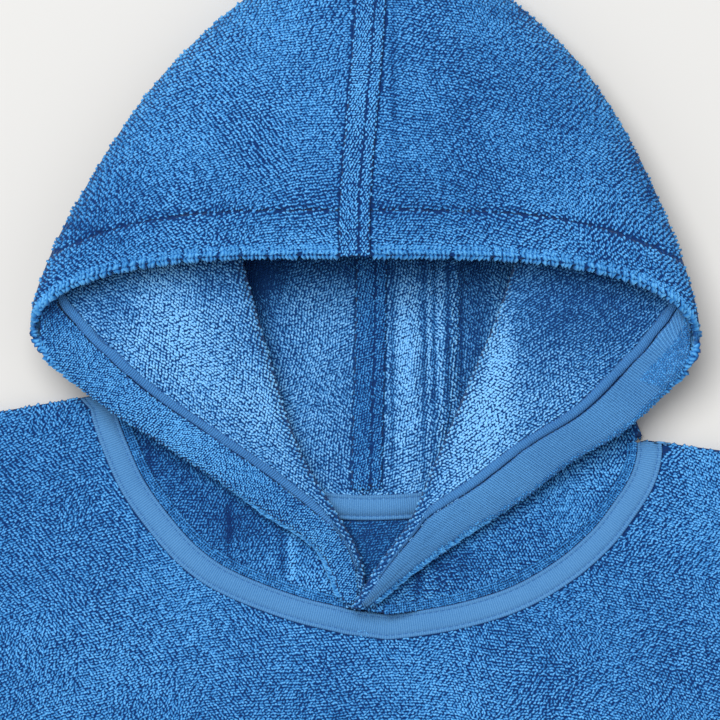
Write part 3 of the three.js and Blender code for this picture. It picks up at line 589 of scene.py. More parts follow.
def grains(name, seats, finish):
    """All grains of one stretch as one joined mesh. A seat is a grain's place, directions and sizes."""
    shape, faces = grain_shape()
    place = np.array([s[0] for s in seats])
    along = np.array([s[1] for s in seats])
    up = np.array([s[2] for s in seats])
    across = np.cross(up, along)
    sizes = np.array([s[3] for s in seats])
    a = shape[None, :, 0] * sizes[:, 0:1]
    bend = sizes[:, 3:4] * (shape[None, :, 0] ** 2 - 0.3)
    b = (shape[None, :, 1] + bend) * sizes[:, 1:2]
    c = shape[None, :, 2] * sizes[:, 2:3]
    points = (
        place[:, None, :]
        + a[:, :, None] * along[:, None, :]
        + b[:, :, None] * across[:, None, :]
        + c[:, :, None] * up[:, None, :]
    )
    points = points.reshape(-1, 3) * MM + np.array(ORIGIN)
    count = len(shape)
    index = (faces[None] + (np.arange(len(seats)) * count)[:, None, None]).reshape(-1, 3)
    mesh = bpy.data.meshes.new(name)
    mesh.from_pydata(points.tolist(), [], index.tolist())
    mesh.polygons.foreach_set("use_smooth", [True] * len(mesh.polygons))
    tone = mesh.attributes.new("tone", "FLOAT", "POINT")
    tone.data.foreach_set("value", np.repeat(sizes[:, 4], count))
    tip = mesh.attributes.new("tip", "FLOAT", "POINT")
    tip.data.foreach_set("value", np.tile(shape[:, 3], len(seats)))
    mesh.materials.append(finish)
    piece = bpy.data.objects.new(name, mesh)
    bpy.context.scene.collection.objects.link(piece)
    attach(piece, "root")
    return piece


def seat_at(place, normal, angle, draw, scale=1.0, calm=1.0, lighter=0.0):
    """A grain's seat: its long way is at an angle on the table, laid onto the cloth and shaken a little."""
    angle += (draw[2] - 0.5) * 1.5 * calm
    along = Vector((math.cos(angle), math.sin(angle), 0))
    along = along - normal * along.dot(normal)
    if along.length < 1e-6:
        along = normal.orthogonal()
    along.normalize()
    long = LOOP_LONG * scale * (0.8 + 0.45 * draw[3])
    wide = LOOP_WIDE * scale * (0.85 + 0.35 * draw[4])
    high = LOOP_HIGH * scale * (0.7 + 0.6 * draw[5])
    bend = 0.6 * (1 if draw[0] > 0.5 else -1) * calm
    tone = draw[1] + lighter
    return (tuple(place), tuple(along), tuple(normal), (long, wide, high, bend, tone))


def pile(points, flow, face, seats, used, accept=None, scale=1.0, calm=1.0, wall=CLOTH, lighter=None):
    """Seats grains in rows over a grid of points, on the side given by face. flow gives a place's distance
    along its row and across the rows, and the way its loops lie."""
    rows, columns = len(points), len(points[0])
    normals = [[grid_normal(points, r, c) * face for c in range(columns)] for r in range(rows)]
    ways = [[flow(p[0], p[1]) for p in line] for line in points]
    taken = set()
    for r in range(rows - 1):
        for c in range(columns - 1):
            if not used(r, c):
                continue
            corners = ((r, c), (r, c + 1), (r + 1, c + 1), (r + 1, c))
            for three in ((0, 1, 2), (0, 2, 3)):
                spot = [corners[k] for k in three]
                fill = (scale, calm, wall / 2, lighter)
                fill_triangle(points, normals, ways, spot, seats, accept, taken, fill)


def fill_triangle(points, normals, ways, spot, seats, accept, taken, fill):
    """Seats the grains whose places in the rows fall inside one triangle of the grid."""
    scale, calm, standing, lighter = fill
    uv = [(ways[r][c][0] / (ROW_PITCH * scale), ways[r][c][1] / (ROW_GAP * scale)) for r, c in spot]
    (u0, v0), (u1, v1), (u2, v2) = uv
    area = (u1 - u0) * (v2 - v0) - (u2 - u0) * (v1 - v0)
    if abs(area) < 1e-9:
        return
    p0, p1, p2 = (Vector(points[r][c]) for r, c in spot)
    n0, n1, n2 = (normals[r][c] for r, c in spot)
    if (n0 + n1 + n2).z < -0.5:
        return
    for b in range(math.floor(min(v0, v1, v2) - 0.4), math.ceil(max(v0, v1, v2) + 0.4) + 1):
        for a in range(math.floor(min(u0, u1, u2) - 0.9), math.ceil(max(u0, u1, u2) + 0.4) + 1):
            draw = chance(a, b)
            u = a + (b % 2) * 0.5 + (draw[0] - 0.5) * 0.5
            v = b + (draw[1] - 0.5) * 0.4
            w1 = ((u - u0) * (v2 - v0) - (u2 - u0) * (v - v0)) / area
            w2 = ((u1 - u0) * (v - v0) - (u - u0) * (v1 - v0)) / area
            w0 = 1 - w1 - w2
            if min(w0, w1, w2) < 0 or (a, b) in taken:
                continue
            normal = (n0 * w0 + n1 * w1 + n2 * w2).normalized()
            place = p0 * w0 + p1 * w1 + p2 * w2 + normal * standing
            if accept and not accept(place, draw):
                continue
            taken.add((a, b))
            angle = ways[spot[0][0]][spot[0][1]][2]
            tone = lighter(place) if lighter else 0.0
            seats.append(seat_at(place, normal, angle, draw, scale, calm, tone))


def nap_and_painted_shade(patches):
    """How much lighter or darker a place of a looped surface is, from its table of patches: brushed nap, and
    painted shade and highlight.
    """

    def lighter(place):
        return sum(
            amount * math.exp(-(((place[0] - x) / wide) ** 2) - ((place[1] - y) / deep) ** 2)
            for x, y, wide, deep, amount in patches
        )

    return lighter


def wander(x, y, seed, reach=26.0):
    """A smooth drift that keeps rows of loops from running straight."""
    return noise.noise(Vector((x / reach, y / reach, seed)))


def crown_flow(x, y):
    """Rows on the crown follow its brow in the middle and climb towards its outline at the sides."""
    off = x + 3
    u = off + 2.2 * wander(x, y, 1.5)
    v = y + 0.003 * off * off + 3.0 * wander(x, y, 4.5)
    return u, v, math.atan(-0.006 * off) + 1.3 * wander(x, y, 9.5, 30)


def slanted_flow(degrees, seed, shake=0.7):
    """Rows at a slant, their loops turned a little this way and that."""
    c, s = math.cos(math.radians(degrees)), math.sin(math.radians(degrees))

    def flow(x, y):
        u = x * c + y * s + 2.0 * wander(x, y, seed)
        v = -x * s + y * c + 2.4 * wander(x, y, seed + 3)
        return u, v, math.radians(degrees) + shake * wander(x, y, seed + 6, 18)

    return flow


def body_flow(x, y):
    """Rows on the body front sag towards its sides."""
    u = x + 3.0 * wander(x, y, 2.5, 34)
    v = y + 0.0012 * x * x + 4.0 * wander(x, y, 5.5, 38)
    return u, v, math.atan(-0.0024 * x) + 1.6 * wander(x, y, 8.5, 24)


# Finishes


def new_finish(name, roughness, sheen, sheen_roughness=0.5):
    finish = bpy.data.materials.new(name)
    finish.use_nodes = True
    tree = finish.node_tree
    tree.nodes.clear()
    shader = tree.nodes.new("ShaderNodeBsdfPrincipled")
    out = tree.nodes.new("ShaderNodeOutputMaterial")
    tree.links.new(shader.outputs["BSDF"], out.inputs["Surface"])
    shader.inputs["Roughness"].default_value = roughness
    shader.inputs["Specular IOR Level"].default_value = 0.15
    shader.inputs["Sheen Weight"].default_value = sheen
    shader.inputs["Sheen Roughness"].default_value = sheen_roughness
    shader.inputs["Sheen Tint"].default_value = (0.55, 0.78, 1.0, 1)
    return finish, tree, shader


def add(tree, kind, **inputs):
    """A node of a kind, with values or other nodes' outputs put into its sockets by name."""
    node = tree.nodes.new(kind)
    for name, value in inputs.items():
        socket = node.inputs[name.replace("_", " ")]
        if isinstance(value, bpy.types.NodeSocket):
            tree.links.new(value, socket)
        else:
            socket.default_value = value
    return node


def ramp(tree, factor, stops):
    node = tree.nodes.new("ShaderNodeValToRGB")
    tree.links.new(factor, node.inputs["Fac"])
    elements = node.color_ramp.elements
    while len(elements) < len(stops):
        elements.new(0.5)
    for element, (at, colour) in zip(elements, stops):
        element.position = at
        element.color = (*colour, 1)
    return node.outputs["Color"]


def arithmetic(tree, operation, first, second=None, third=None):
    node = tree.nodes.new("ShaderNodeMath")
    node.operation = operation
    for k, value in enumerate((first, second, third)):
        if isinstance(value, bpy.types.NodeSocket):
            tree.links.new(value, node.inputs[k])
        elif value is not None:
            node.inputs[k].default_value = value
    return node.outputs[0]


def raise_surface(tree, shader, height, distance, strength=1.0):
    """Fine relief, in metres, on a finish."""
    bump = add(tree, "ShaderNodeBump", Height=height)
    bump.inputs["Distance"].default_value = distance
    bump.inputs["Strength"].default_value = strength
    tree.links.new(bump.outputs["Normal"], shader.inputs["Normal"])


def dye_and_painted_shade(tree, factor, deep, middle, light):
    """The towelling's colour: its dye in the middle, painted shade deep between the loops and a painted
    highlight light on top.
    """
    return ramp(tree, factor, [(0.0, deep), (0.45, middle), (1.0, light)])


# Deep, middle and light colours of each towelling: the middle is its dye, the deep one painted shade between
# and under the loops, the light one a painted highlight on their tops.
OUTER_DYE_AND_SHADE = ((0.002, 0.026, 0.125), (0.022, 0.17, 0.46), (0.125, 0.44, 0.82))
INNER_DYE_AND_SHADE = ((0.003, 0.036, 0.15), (0.040, 0.21, 0.51), (0.22, 0.54, 0.88))


def towelling(name, dye_and_shade, covered):
    """Looped cloth: close round loops, each a little bent, with painted shade between them and a painted
    highlight on top.
    Where loops stand on it as grains of their own, as the attribute tells, its ground is painted shade, deep
    and plain."""
    finish, tree, shader = new_finish(name, 0.95, 0.12)
    place = tree.nodes.new("ShaderNodeTexCoord").outputs["Object"]
    bent = add(tree, "ShaderNodeTexNoise", Vector=place, Scale=260.0, Detail=1.0)
    offset = tree.nodes.new("ShaderNodeVectorMath")
    offset.operation = "MULTIPLY_ADD"
    tree.links.new(bent.outputs["Color"], offset.inputs[0])
    offset.inputs[1].default_value = (0.0022, 0.0022, 0.0022)
    tree.links.new(place, offset.inputs[2])
    loops = add(tree, "ShaderNodeTexVoronoi", Vector=offset.outputs[0], Scale=540.0)
    rise = arithmetic(tree, "SUBTRACT", 0.85, loops.outputs["Distance"])
    patches = add(tree, "ShaderNodeTexNoise", Vector=place, Scale=24.0, Detail=2.0)
    shade = arithmetic(tree, "MULTIPLY_ADD", patches.outputs["Fac"], 0.3, -0.05)
    level = arithmetic(tree, "ADD", rise, shade)
    # Where grains stand, the ground is darkened: painted shade beneath the loops.
    ground = add(tree, "ShaderNodeAttribute")
    ground.attribute_name = covered
    level = arithmetic(tree, "MULTIPLY_ADD", ground.outputs["Fac"], -0.6, level)
    tree.links.new(dye_and_painted_shade(tree, level, *dye_and_shade), shader.inputs["Base Color"])
    raise_surface(tree, shader, rise, 0.0012)
    return finish


def pile_finish(name, dye_and_shade):
    """The loops themselves: painted shade, a deep colour, at the foot, and a painted highlight, light, at the
    top.
    """
    finish, tree, shader = new_finish(name, 0.9, 0.12)
    tip = add(tree, "ShaderNodeAttribute")
    tip.attribute_name = "tip"
    tone = add(tree, "ShaderNodeAttribute")
    tone.attribute_name = "tone"
    place = tree.nodes.new("ShaderNodeTexCoord").outputs["Object"]
    patches = add(tree, "ShaderNodeTexNoise", Vector=place, Scale=22.0, Detail=2.0)
    spun = add(tree, "ShaderNodeTexNoise", Vector=place, Scale=2400.0, Detail=1.0)
    # Darker at a loop's foot and lighter at its tip: painted shade and painted highlight.
    level = arithmetic(tree, "MULTIPLY_ADD", tip.outputs["Fac"], 0.95, -0.28)
    level = arithmetic(tree, "MULTIPLY_ADD", tone.outputs["Fac"], 0.42, level)
    level = arithmetic(tree, "MULTIPLY_ADD", patches.outputs["Fac"], 0.3, level)
    level = arithmetic(tree, "ADD", level, -0.17)
    tree.links.new(dye_and_painted_shade(tree, level, *dye_and_shade), shader.inputs["Base Color"])
    raise_surface(tree, shader, spun.outputs["Fac"], 0.00025, 0.7)
    return finish


def ribbed(name, pitch, deep, light, depth=0.0002, lean=0.0, beads=0.0):
    """Fine woven or knitted cloth with ribs across it, on the piece's own UV. They lean by so much of their
    length, and beads breaks them into knitted stitches."""
    finish, tree, shader = new_finish(name, 0.85, 0.08)
    uv = tree.nodes.new("ShaderNodeUVMap").outputs["UV"]
    place = tree.nodes.new("ShaderNodeTexCoord").outputs["Object"]
    split = add(tree, "ShaderNodeSeparateXYZ", Vector=uv)
    slanted = arithmetic(tree, "MULTIPLY_ADD", split.outputs["Y"], lean, split.outputs["X"])
    path = add(tree, "ShaderNodeCombineXYZ", X=slanted, Y=split.outputs["Y"])
    waves = add(tree, "ShaderNodeTexWave", Vector=path.outputs[0], Scale=2 * math.pi / (20 * pitch * MM))
    waves.bands_direction = "X"
    stitch = add(tree, "ShaderNodeTexWave", Vector=path.outputs[0], Scale=2 * math.pi / (16 * pitch * MM))
    stitch.bands_direction = "Y"
    for wave in (waves, stitch):
        wave.inputs["Distortion"].default_value = 0.8
        wave.inputs["Detail"].default_value = 1.0
        wave.inputs["Detail Scale"].default_value = 1.5
    ribs = arithmetic(tree, "MULTIPLY_ADD", stitch.outputs["Fac"], beads, waves.outputs["Fac"])
    grain = add(tree, "ShaderNodeTexNoise", Vector=place, Scale=1500.0, Detail=2.0)
    patches = add(tree, "ShaderNodeTexNoise", Vector=place, Scale=30.0, Detail=2.0)
    level = arithmetic(tree, "MULTIPLY_ADD", ribs, 0.4, 0.05)
    level = arithmetic(tree, "MULTIPLY_ADD", grain.outputs["Fac"], 0.5, level)
    level = arithmetic(tree, "MULTIPLY_ADD", patches.outputs["Fac"], 0.35, level)
    level = arithmetic(tree, "ADD", level, -0.18)
    tree.links.new(ramp(tree, level, [(0.1, deep), (0.9, light)]), shader.inputs["Base Color"])
    height = arithmetic(tree, "MULTIPLY_ADD", grain.outputs["Fac"], 0.6, ribs)
    raise_surface(tree, shader, height, depth)
    return finish


def plain_thread(name, colour):
    finish, tree, shader = new_finish(name, 0.6, 0.1)
    place = tree.nodes.new("ShaderNodeTexCoord").outputs["Object"]
    spun = add(tree, "ShaderNodeTexNoise", Vector=place, Scale=3000.0)
    tree.links.new(
        ramp(tree, spun.outputs["Fac"], [(0.3, tuple(c * 0.7 for c in colour)), (0.7, colour)]),
        shader.inputs["Base Color"],
    )
    raise_surface(tree, shader, spun.outputs["Fac"], 0.0002)
    return finish


outer_cloth = towelling("towelling_outer", OUTER_DYE_AND_SHADE, "looped_outside")
inner_cloth = towelling("towelling_inner", INNER_DYE_AND_SHADE, "looped_inside")
outer_pile = pile_finish("loops_outer", OUTER_DYE_AND_SHADE)
inner_pile = pile_finish("loops_inner", INNER_DYE_AND_SHADE)
facing_knit = ribbed("facing_knit", 1.15, (0.008, 0.08, 0.28), (0.10, 0.33, 0.68), 0.0005, 0.25, 0.5)
twill = ribbed("neck_twill", 1.0, (0.035, 0.15, 0.37), (0.105, 0.285, 0.55), 0.00022)
edge_rib = ribbed("edge_tape_rib", 1.05, (0.012, 0.09, 0.30), (0.08, 0.28, 0.62), 0.00045, 0.5, 0.3)
thread = plain_thread("sewing_thread", (0.03, 0.13, 0.38))


# The hood's two halves


HALF_ROWS = sorted(
    {round(k * 0.2, 3) for k in range(76)} | {6.9, 6.94, 6.97, 7.03, 7.06, 7.1, 7.9, 8.1}
)
HALF_STEPS = steps(0, LAST_COLUMN, LAST_COLUMN * 4)


def brow_height(i, j):
    """On the crown the hem stands a little above the panel, past its stitched groove."""
    if j > SIDE_TURN or i > BROW:
        return 0
    groove = -1.1 * math.exp(-(((i - STITCH_SECTION) / 0.05) ** 2))
    return groove + 0.7 * ease((i - STITCH_SECTION - 0.03) / 0.1) * ease((SIDE_TURN - j) / 0.6)


def half_points(side):
    """Every point of one half, its brow's hem raised. Places off the cloth stay at nought."""
    points = []
    for i in HALF_ROWS:
        line = []
        for j in HALF_STEPS:
            inside = (i <= BROW or j >= SIDE_TURN) and (i <= SHOULDER_SECTION or j <= BACK_TURN)
            p = hood_point(side, i, j) if inside else (0, 0, 0)
            line.append((p[0], p[1], p[2] + brow_height(i, j)))
        points.append(line)
    return points


def half_used(r, c):
    """Below the brow a half is open in front, and below the shoulder it has no back wall."""
    i, j = HALF_ROWS[r], HALF_STEPS[c]
    return (i < BROW or j >= SIDE_TURN) and (i < SHOULDER_SECTION or j < BACK_TURN)


FELL_PATH = {
    where: sorted((seam_at(i)[where + "_y"], seam_at(i)[where + "_x"]) for i in steps(0.25, 10.75, 60))
    for where in ("crown", "back")
}


def hood_half(side):
    points = half_points(side)
    piece = sheet("cloth_hood_" + side, points, half_used, flip=side == "right")
    # Grains stand outside on the crown and the turned-back layers, and inside on the low back wall
    mark(piece, "looped_outside", lambda p: 1.0 if p.z > 12 or p.y < 40 else 0.0)
    mark(piece, "looped_inside", lambda p: 1.0 if p.z < 26 and p.y < 82 else 0.0)
    return dressed(piece, [outer_cloth, inner_cloth], CLOTH, "hood_" + side), points


# Where the loops are lighter or darker: brushed nap, and painted light and shade: painted shade along a small
# crease or seam with a painted highlight beside it, painted shade in a hollow and under the brow where the
# crown's shadow falls, and painted highlights near ridges. Each has its middle, half sizes and amount.
# On the crown: brushed nap, with painted shade and highlight along its small creases.
CROWN_NAP_AND_SHADE = [
    (-75, 150, 45, 40, 0.3), (60, 140, 40, 45, -0.15), (35, 95, 30, 20, -0.15), (-30, 165, 18, 40, 0.1),
    (0, 80, 150, 7, 0.25), (-120, 95, 25, 25, -0.2), (120, 110, 25, 40, 0.1), (95, 175, 30, 16, 0.25),
    (-90, 170, 5, 2.2, -0.8), (-80, 174, 6, 2.2, -0.9), (-70, 178, 5, 2.2, -0.7), (-84, 176, 8, 2.5, 0.5),
    (-130, 87, 6, 1.8, -0.8), (-120, 84, 6, 1.8, -0.9), (-110, 80, 5, 1.8, -0.6),
    (128, 104, 3, 12, -0.7), (122, 118, 3, 10, -0.6), (12.5, 150, 1.2, 30, -0.8), (70, 182, 14, 3, -0.5),
]
# On the turned-back sides: painted highlights near the ridges, and painted shade under the brow where the
# crown's shadow falls.
SIDE_NAP_AND_SHADE = [
    (-86, 42, 26, 34, 1.0), (-70, 62, 16, 12, -0.7), (-45, 8, 20, 20, 0.7), (-112, 52, 18, 14, -0.5),
    (86, 52, 30, 22, -0.75), (118, 50, 30, 26, -0.4), (52, 0, 14, 26, 1.2), (60, 36, 7, 32, 0.9),
    (40, -28, 12, 16, 0.5), (-30, -28, 12, 14, 0.2), (88, 8, 20, 12, 0.3),
]
# On the back wall: painted shade under the brow and in its left hollow, and painted shade and highlight along
# its ridges.
WALL_NAP_AND_SHADE = [
    (-52, 66, 14, 14, -2.0), (-46, 40, 9, 40, -0.5), (-24, 20, 12, 50, 0.15), (19, 20, 7, 60, 0.7),
    (0, 70, 60, 8, -0.8), (50, 50, 6, 60, -0.8), (12.4, 25, 0.9, 60, -1.2), (26.5, 25, 1.1, 60, -1.3),
    (28.8, 28, 1.2, 60, 0.5), (31, 30, 0.9, 60, -1.1), (34, 30, 1.8, 60, 0.6), (37.2, 35, 1.1, 60, -1.2),
    (40, 35, 1.6, 60, 0.4), (43, 40, 1.2, 50, -1.1),
]
# On the layer below: painted shade under the lapels' edges, and painted shade and highlight on the two sides
# of its folds.
TUCK_NAP_AND_SHADE = [
    (-85, -20, 30, 24, -0.65), (-56, -46, 18, 12, -0.7), (100, -30, 26, 20, 0.25), (36, -62, 20, 9, -0.7),
    (-33, -62, 1.6, 16, 1.4), (-37, -62, 2.4, 16, -0.9), (-97, -25, 1.6, 16, -1.2), (-61, -48, 1.6, 14, -1.0),
    (24, -68, 1.6, 12, -1.4), (27.5, -68, 1.6, 12, 0.6), (-20, -74, 12, 8, 0.5), (118, -20, 10, 10, 0.4),
]
BODY_NAP = [
    (-150, -40, 30, 50, -0.15), (-120, -110, 40, 26, 0.2), (40, -120, 50, 14, 0.25),
    (120, -90, 40, 34, -0.15), (150, -20, 26, 40, 0.2), (-20, -135, 40, 12, -0.2),
]


# Bands of the hood's loops, as sections and columns of its surface
CROWN_TOP = 0.2
STITCH_GROOVE = (6.95, 7.04)
RIM_SECTION = 7.82
SIDE_SECTION = 6
TAPE_COLUMN = 8.6
BEYOND_TAPE = 12.5
WALL_SECTION = 6.4
WALL_COLUMN = 27


def fell_x(y, where):
    """Where the centre seam's strip runs at a height in the pattern."""
    path = FELL_PATH[where]
    for (y0, x0), (y1, x1) in zip(path, path[1:]):
        if y <= y1:
            return mix(x0, x1, clamp01((y - y0) / (y1 - y0)) if y1 > y0 else 0)
    return path[-1][1]


def hood_pile(side, points, tape):
    """Loops on the crown, on the turned-back side up to its tape, on the back wall and on the layer below."""
    outward = 1 if side == "left" else -1
    lean = -38 if side == "left" else 38

    def zone(low_i, high_i, low_j, high_j, spare=lambda i, j: False):
        def used(r, c):
            i, j = HALF_ROWS[r], HALF_STEPS[c]
            return half_used(r, c) and low_i <= i < high_i and low_j <= j < high_j and not spare(i, j)
        return used

    def groove(i, j):
        return STITCH_GROOVE[0] < i < STITCH_GROOVE[1] or i > RIM_SECTION

    def clear(place, draw):
        return abs(place.x - fell_x(place.y, "crown")) > FELL_WIDTH / 2 + 1.2

    def clear_inside(place, draw):
        below_strip = place.y < FELL_PATH["back"][0][0] + 0.3
        return below_strip or abs(place.x - fell_x(place.y, "back")) > FELL_WIDTH / 2 + 0.9

    crown, inside, below = [], [], []
    top = zone(CROWN_TOP, BROW, 0, SIDE_TURN + 1, groove)
    pile(points, crown_flow, outward, crown, top, clear, lighter=nap_and_painted_shade(CROWN_NAP_AND_SHADE))
    beyond = [k for k, stop in enumerate(EDGE_TRACK[:len(tape[0])]) if stop[0] > 8.3]
    rim = np.array([tape[-1][k] for k in beyond])
    inward = rim - np.array([tape[-4][k] for k in beyond])
    inward /= np.linalg.norm(inward, axis=1)[:, None]

    def off_tape(place, draw):
        away = np.array(place) - rim
        k = np.argmin(np.sum(away ** 2, axis=1))
        return np.dot(away[k], inward[k]) > -0.9

    sides = slanted_flow(lean, 11.5)
    light = nap_and_painted_shade(SIDE_NAP_AND_SHADE)
    by_tape = zone(SIDE_SECTION, NECK_SECTION, TAPE_COLUMN, BEYOND_TAPE)
    beyond_tape = zone(SIDE_SECTION, NECK_SECTION, BEYOND_TAPE, RIDGE + 1.5)
    pile(points, sides, -outward, inside, by_tape, off_tape, lighter=light)
    pile(points, sides, -outward, inside, beyond_tape, lighter=light)
    wall = slanted_flow(80, 21.5, 1.4)
    back = zone(WALL_SECTION, SHOULDER_SECTION, WALL_COLUMN, LAST_COLUMN)
    pile(points, wall, -outward, inside, back, clear_inside, lighter=nap_and_painted_shade(WALL_NAP_AND_SHADE))
    under = slanted_flow(-lean * 1.6, 31.5, 1.2)
    tuck = zone(BROW, NECK_SECTION, UNDER, BACK_TURN + 3)
    pile(points, under, outward, below, tuck, lighter=nap_and_painted_shade(TUCK_NAP_AND_SHADE))
    return [
        grains("loops_crown_" + side, crown, outer_pile),
        grains("loops_inside_" + side, inside, inner_pile),
        grains("loops_neck_" + side, below, outer_pile),
    ]


halves = {side: hood_half(side) for side in ("left", "right")}


# Body panels


# Where the body front's loops are grains of their own: its sides, its lower end and the width of its fade
LOOPED = {"x": (-205, 201), "y": -180, "fade": 24}


def looped_edge(x, y):
    """How far a place lies inside the looped stretch of the body front."""
    left, right = LOOPED["x"]
    return min(x - left, right - x, y - LOOPED["y"])


def looped_amount(p):
    """How far the ground at a place is covered by grains."""
    return ease((looped_edge(p.x, p.y) / LOOPED["fade"] - 0.5) / 0.6)


FRONT_STEPS = sorted({*steps(0, 0.12, 10), *steps(0.12, 0.94, 40)})
SHOULDER_STOPS = (
    0, 0.03, 0.065, 0.08, 0.13, 0.18, 0.23, 0.28, 0.35, 0.42, 0.5, 0.57, 0.65, 0.72, 0.8, 0.88, 0.94,
)


def panel_columns(neck):
    """Top edge of a body panel, with the place on the hem below each point."""

    def half(side):
        line = SHOULDER[side]
        foot = SIGN[side] * 215 + 2
        columns = []
        for s in SHOULDER_STOPS:
            top = mix_point(line["outer"], line["neck"], s)
            span = (line["neck"][0] - line["outer"][0]) / (foot - line["outer"][0])
            columns.append((top, mix(line["outer"][0], foot, s * span if s <= 0.08 else s)))
        points = neck(side)
        for k, top in enumerate(points):
            columns.append((top, mix(foot, 2, (k / len(points)) ** 0.9)))
        return columns

    return [*half("left"), *reversed(half("right"))]


def panel_points(columns, rows, height):
    """Rows of a body panel from its top edge down to its hem."""
    points = []
    hems = [PANEL_HEM + 5, PANEL_HEM + 2.5, PANEL_HEM, PANEL_HEM - 4, 4, 0]
    for r, b in enumerate([*rows, *hems]):
        line = []
        for top, foot in columns:
            y = HEM_Y + b if r >= len(rows) else mix(top[1], HEM_Y, b)
            t = (top[1] - y) / (top[1] - HEM_Y)
            x = mix(top[0], foot, t)
            line.append((x, y, height(x, y)))
        points.append(line)
    return points


def neck_corner(side):
    """The inner end of a shoulder seam, and the short step down to the neckline."""
    x, y = SHOULDER[side]["neck"]
    return [(x, y), (x, y - 4.2)]


def front_panel():
    def neck(side):
        return [*neck_corner(side), *(neck_edge(side, f, 0.1) for f in steps(0.0625, 1, 30))]

    points = panel_points(panel_columns(neck), FRONT_STEPS, front_z)
    piece = sheet("cloth_body_front", points, flip=True)
    mark(piece, "looped_outside", looped_amount)
    mark(piece, "looped_inside", lambda p: 0.0)
    return dressed(piece, [outer_cloth, inner_cloth], CLOTH, "body_front"), points


def back_panel():
    def neck(side):
        rest = []
        for s in steps(0.1, 1, 9)[: None if side == "left" else -1]:
            p, down = back_neck_edge(side, s)
            rest.append((p[0] + down[0] * SEAM_GAP, p[1] + down[1] * SEAM_GAP))
        return [*neck_corner(side), *rest]

    rows = steps(0, 0.94, 30)
    points = panel_points(panel_columns(neck), rows, lambda x, y: BACK_Z + 0.5 * hem_amount(x, y))
    piece = sheet("cloth_body_back", points, flip=True)
    mark(piece, "looped_outside", lambda p: 0.0)
    mark(piece, "looped_inside", lambda p: 1.0 if abs(p.x) < 60 and p.y > -90 else 0.0)
    return dressed(piece, [inner_cloth, outer_cloth], CLOTH, "body_back"), points


def body_pile(front_points, back_points):
    """Loops on the body front, shoulders and round the neck, and on the inside of the back below the neck."""

    def near(place, draw):
        return looped_edge(place.x, place.y) > LOOPED["fade"] * draw[5] and not under_tape(place.x, place.y)

    sides = {"left": [], "right": []}
    for name, seats in sides.items():
        pile(
            front_points, body_flow, -1, seats, lambda r, c: True,
            lambda p, draw, name=name: (p.x < 0) == (name == "left") and near(p, draw), 1.05,
            lighter=nap_and_painted_shade(BODY_NAP),
        )
    inside = []
    # The loops inside the back, below the neck, are darkened throughout: painted shade where they lie deep in
    # the neck opening.
    pile(
        back_points, slanted_flow(4, 41.5, 1.2), -1, inside, lambda r, c: True,
        lambda p, draw: abs(p.x) < 42 and -82 < p.y < -45.5, lighter=lambda p: -0.8,
    )
    return [
        grains("loops_front_left", sides["left"], outer_pile),
        grains("loops_front_right", sides["right"], outer_pile),
        grains("loops_back_inside", inside, outer_pile),
    ]


TAPE_TRACK = [(side, f) for side in ("left", "right") for f in steps(0, 1, 60)]
TAPE_MIDDLE = [neck_edge(side, f, NECK_TAPE_WIDTH / 2) for side, f in TAPE_TRACK]


def under_tape(x, y):
    """Whether a place of the body front lies under the neck tape."""
    if y > 20 or y < -110:
        return False
    return any(math.hypot(x - p[0], y - p[1]) < NECK_TAPE_WIDTH / 2 + 0.2 for p in TAPE_MIDDLE)


body_front, front_grid = front_panel()
body_back, back_grid = back_panel()
body_loops = body_pile(front_grid, back_grid)


# Neck tapes


# Distance across the neck tape and height of its face there, from the lip by the hood to the lip on the body
TAPE_SECTION = [
    (0.2, 0.1), (0.7, 0.75), (1.5, 0.7), (2.0, 0.05), (2.5, 0.45), (4.0, 0.8), (6.0, 0.95),
    (8.0, 0.8), (9.4, 0.45), (9.8, 0.0), (10.3, 0.65), (11.2, 0.65), (11.7, 0.05),
]


def tape_grid(section, stations, base, top):
    """Rows across a tape, each along its whole length. base gives the seam point at a distance out."""
    grid = []
    for out, rise in section:
        line = []
        for station in stations:
            x, y = base(station, out)
            line.append((x, y, top(x, y, out) + rise))
        grid.append(line)
    return grid


def front_neck_tape():
    fractions = [0, 0.02, 0.04, *steps(0.0625, 1, 90)]
    stations = [("left", f) for f in fractions] + [("right", f) for f in reversed(fractions)]

    def base(station, out):
        side, f = station
        x, y = neck_edge(side, f, out)
        (neck_x, neck_y), (outer_x, outer_y) = SHOULDER[side]["neck"], SHOULDER[side]["outer"]
        shoulder_y = neck_y + (outer_y - neck_y) / (outer_x - neck_x) * (x - neck_x)
        return (x, min(y, shoulder_y - 0.4 - 8 * f))

    grid = tape_grid(TAPE_SECTION, stations, base, lambda x, y, out: front_z(x, y) + WALL / 2 + SEAM_GAP)
    piece = sheet("tape_neck_front", grid, flip=True)
    return dressed(piece, [twill], TAPE_WALL, "neck_tape_front", -1), grid


def back_neck_tape():
    stops = steps(0.3, 1, 30)
    stations = [("left", s) for s in stops] + [("right", s) for s in reversed(stops[:-1])]

    def base(station, out):
        p, down = back_neck_edge(*station)
        if station[1] == 1:
            return (0.5, p[1] + 6 - out)
        return (p[0] + down[0] * (out - 6), p[1] + down[1] * (out - 6))

    def top(x, y, out):
        return mix(2.85, BACK_Z, ease((out - 6) / 6)) + WALL / 2 + SEAM_GAP + 0.1

    grid = tape_grid(TAPE_SECTION, stations, base, top)
    piece = sheet("tape_neck_back", grid, flip=True)
    return dressed(piece, [twill], TAPE_WALL, "neck_tape_back", -1), grid


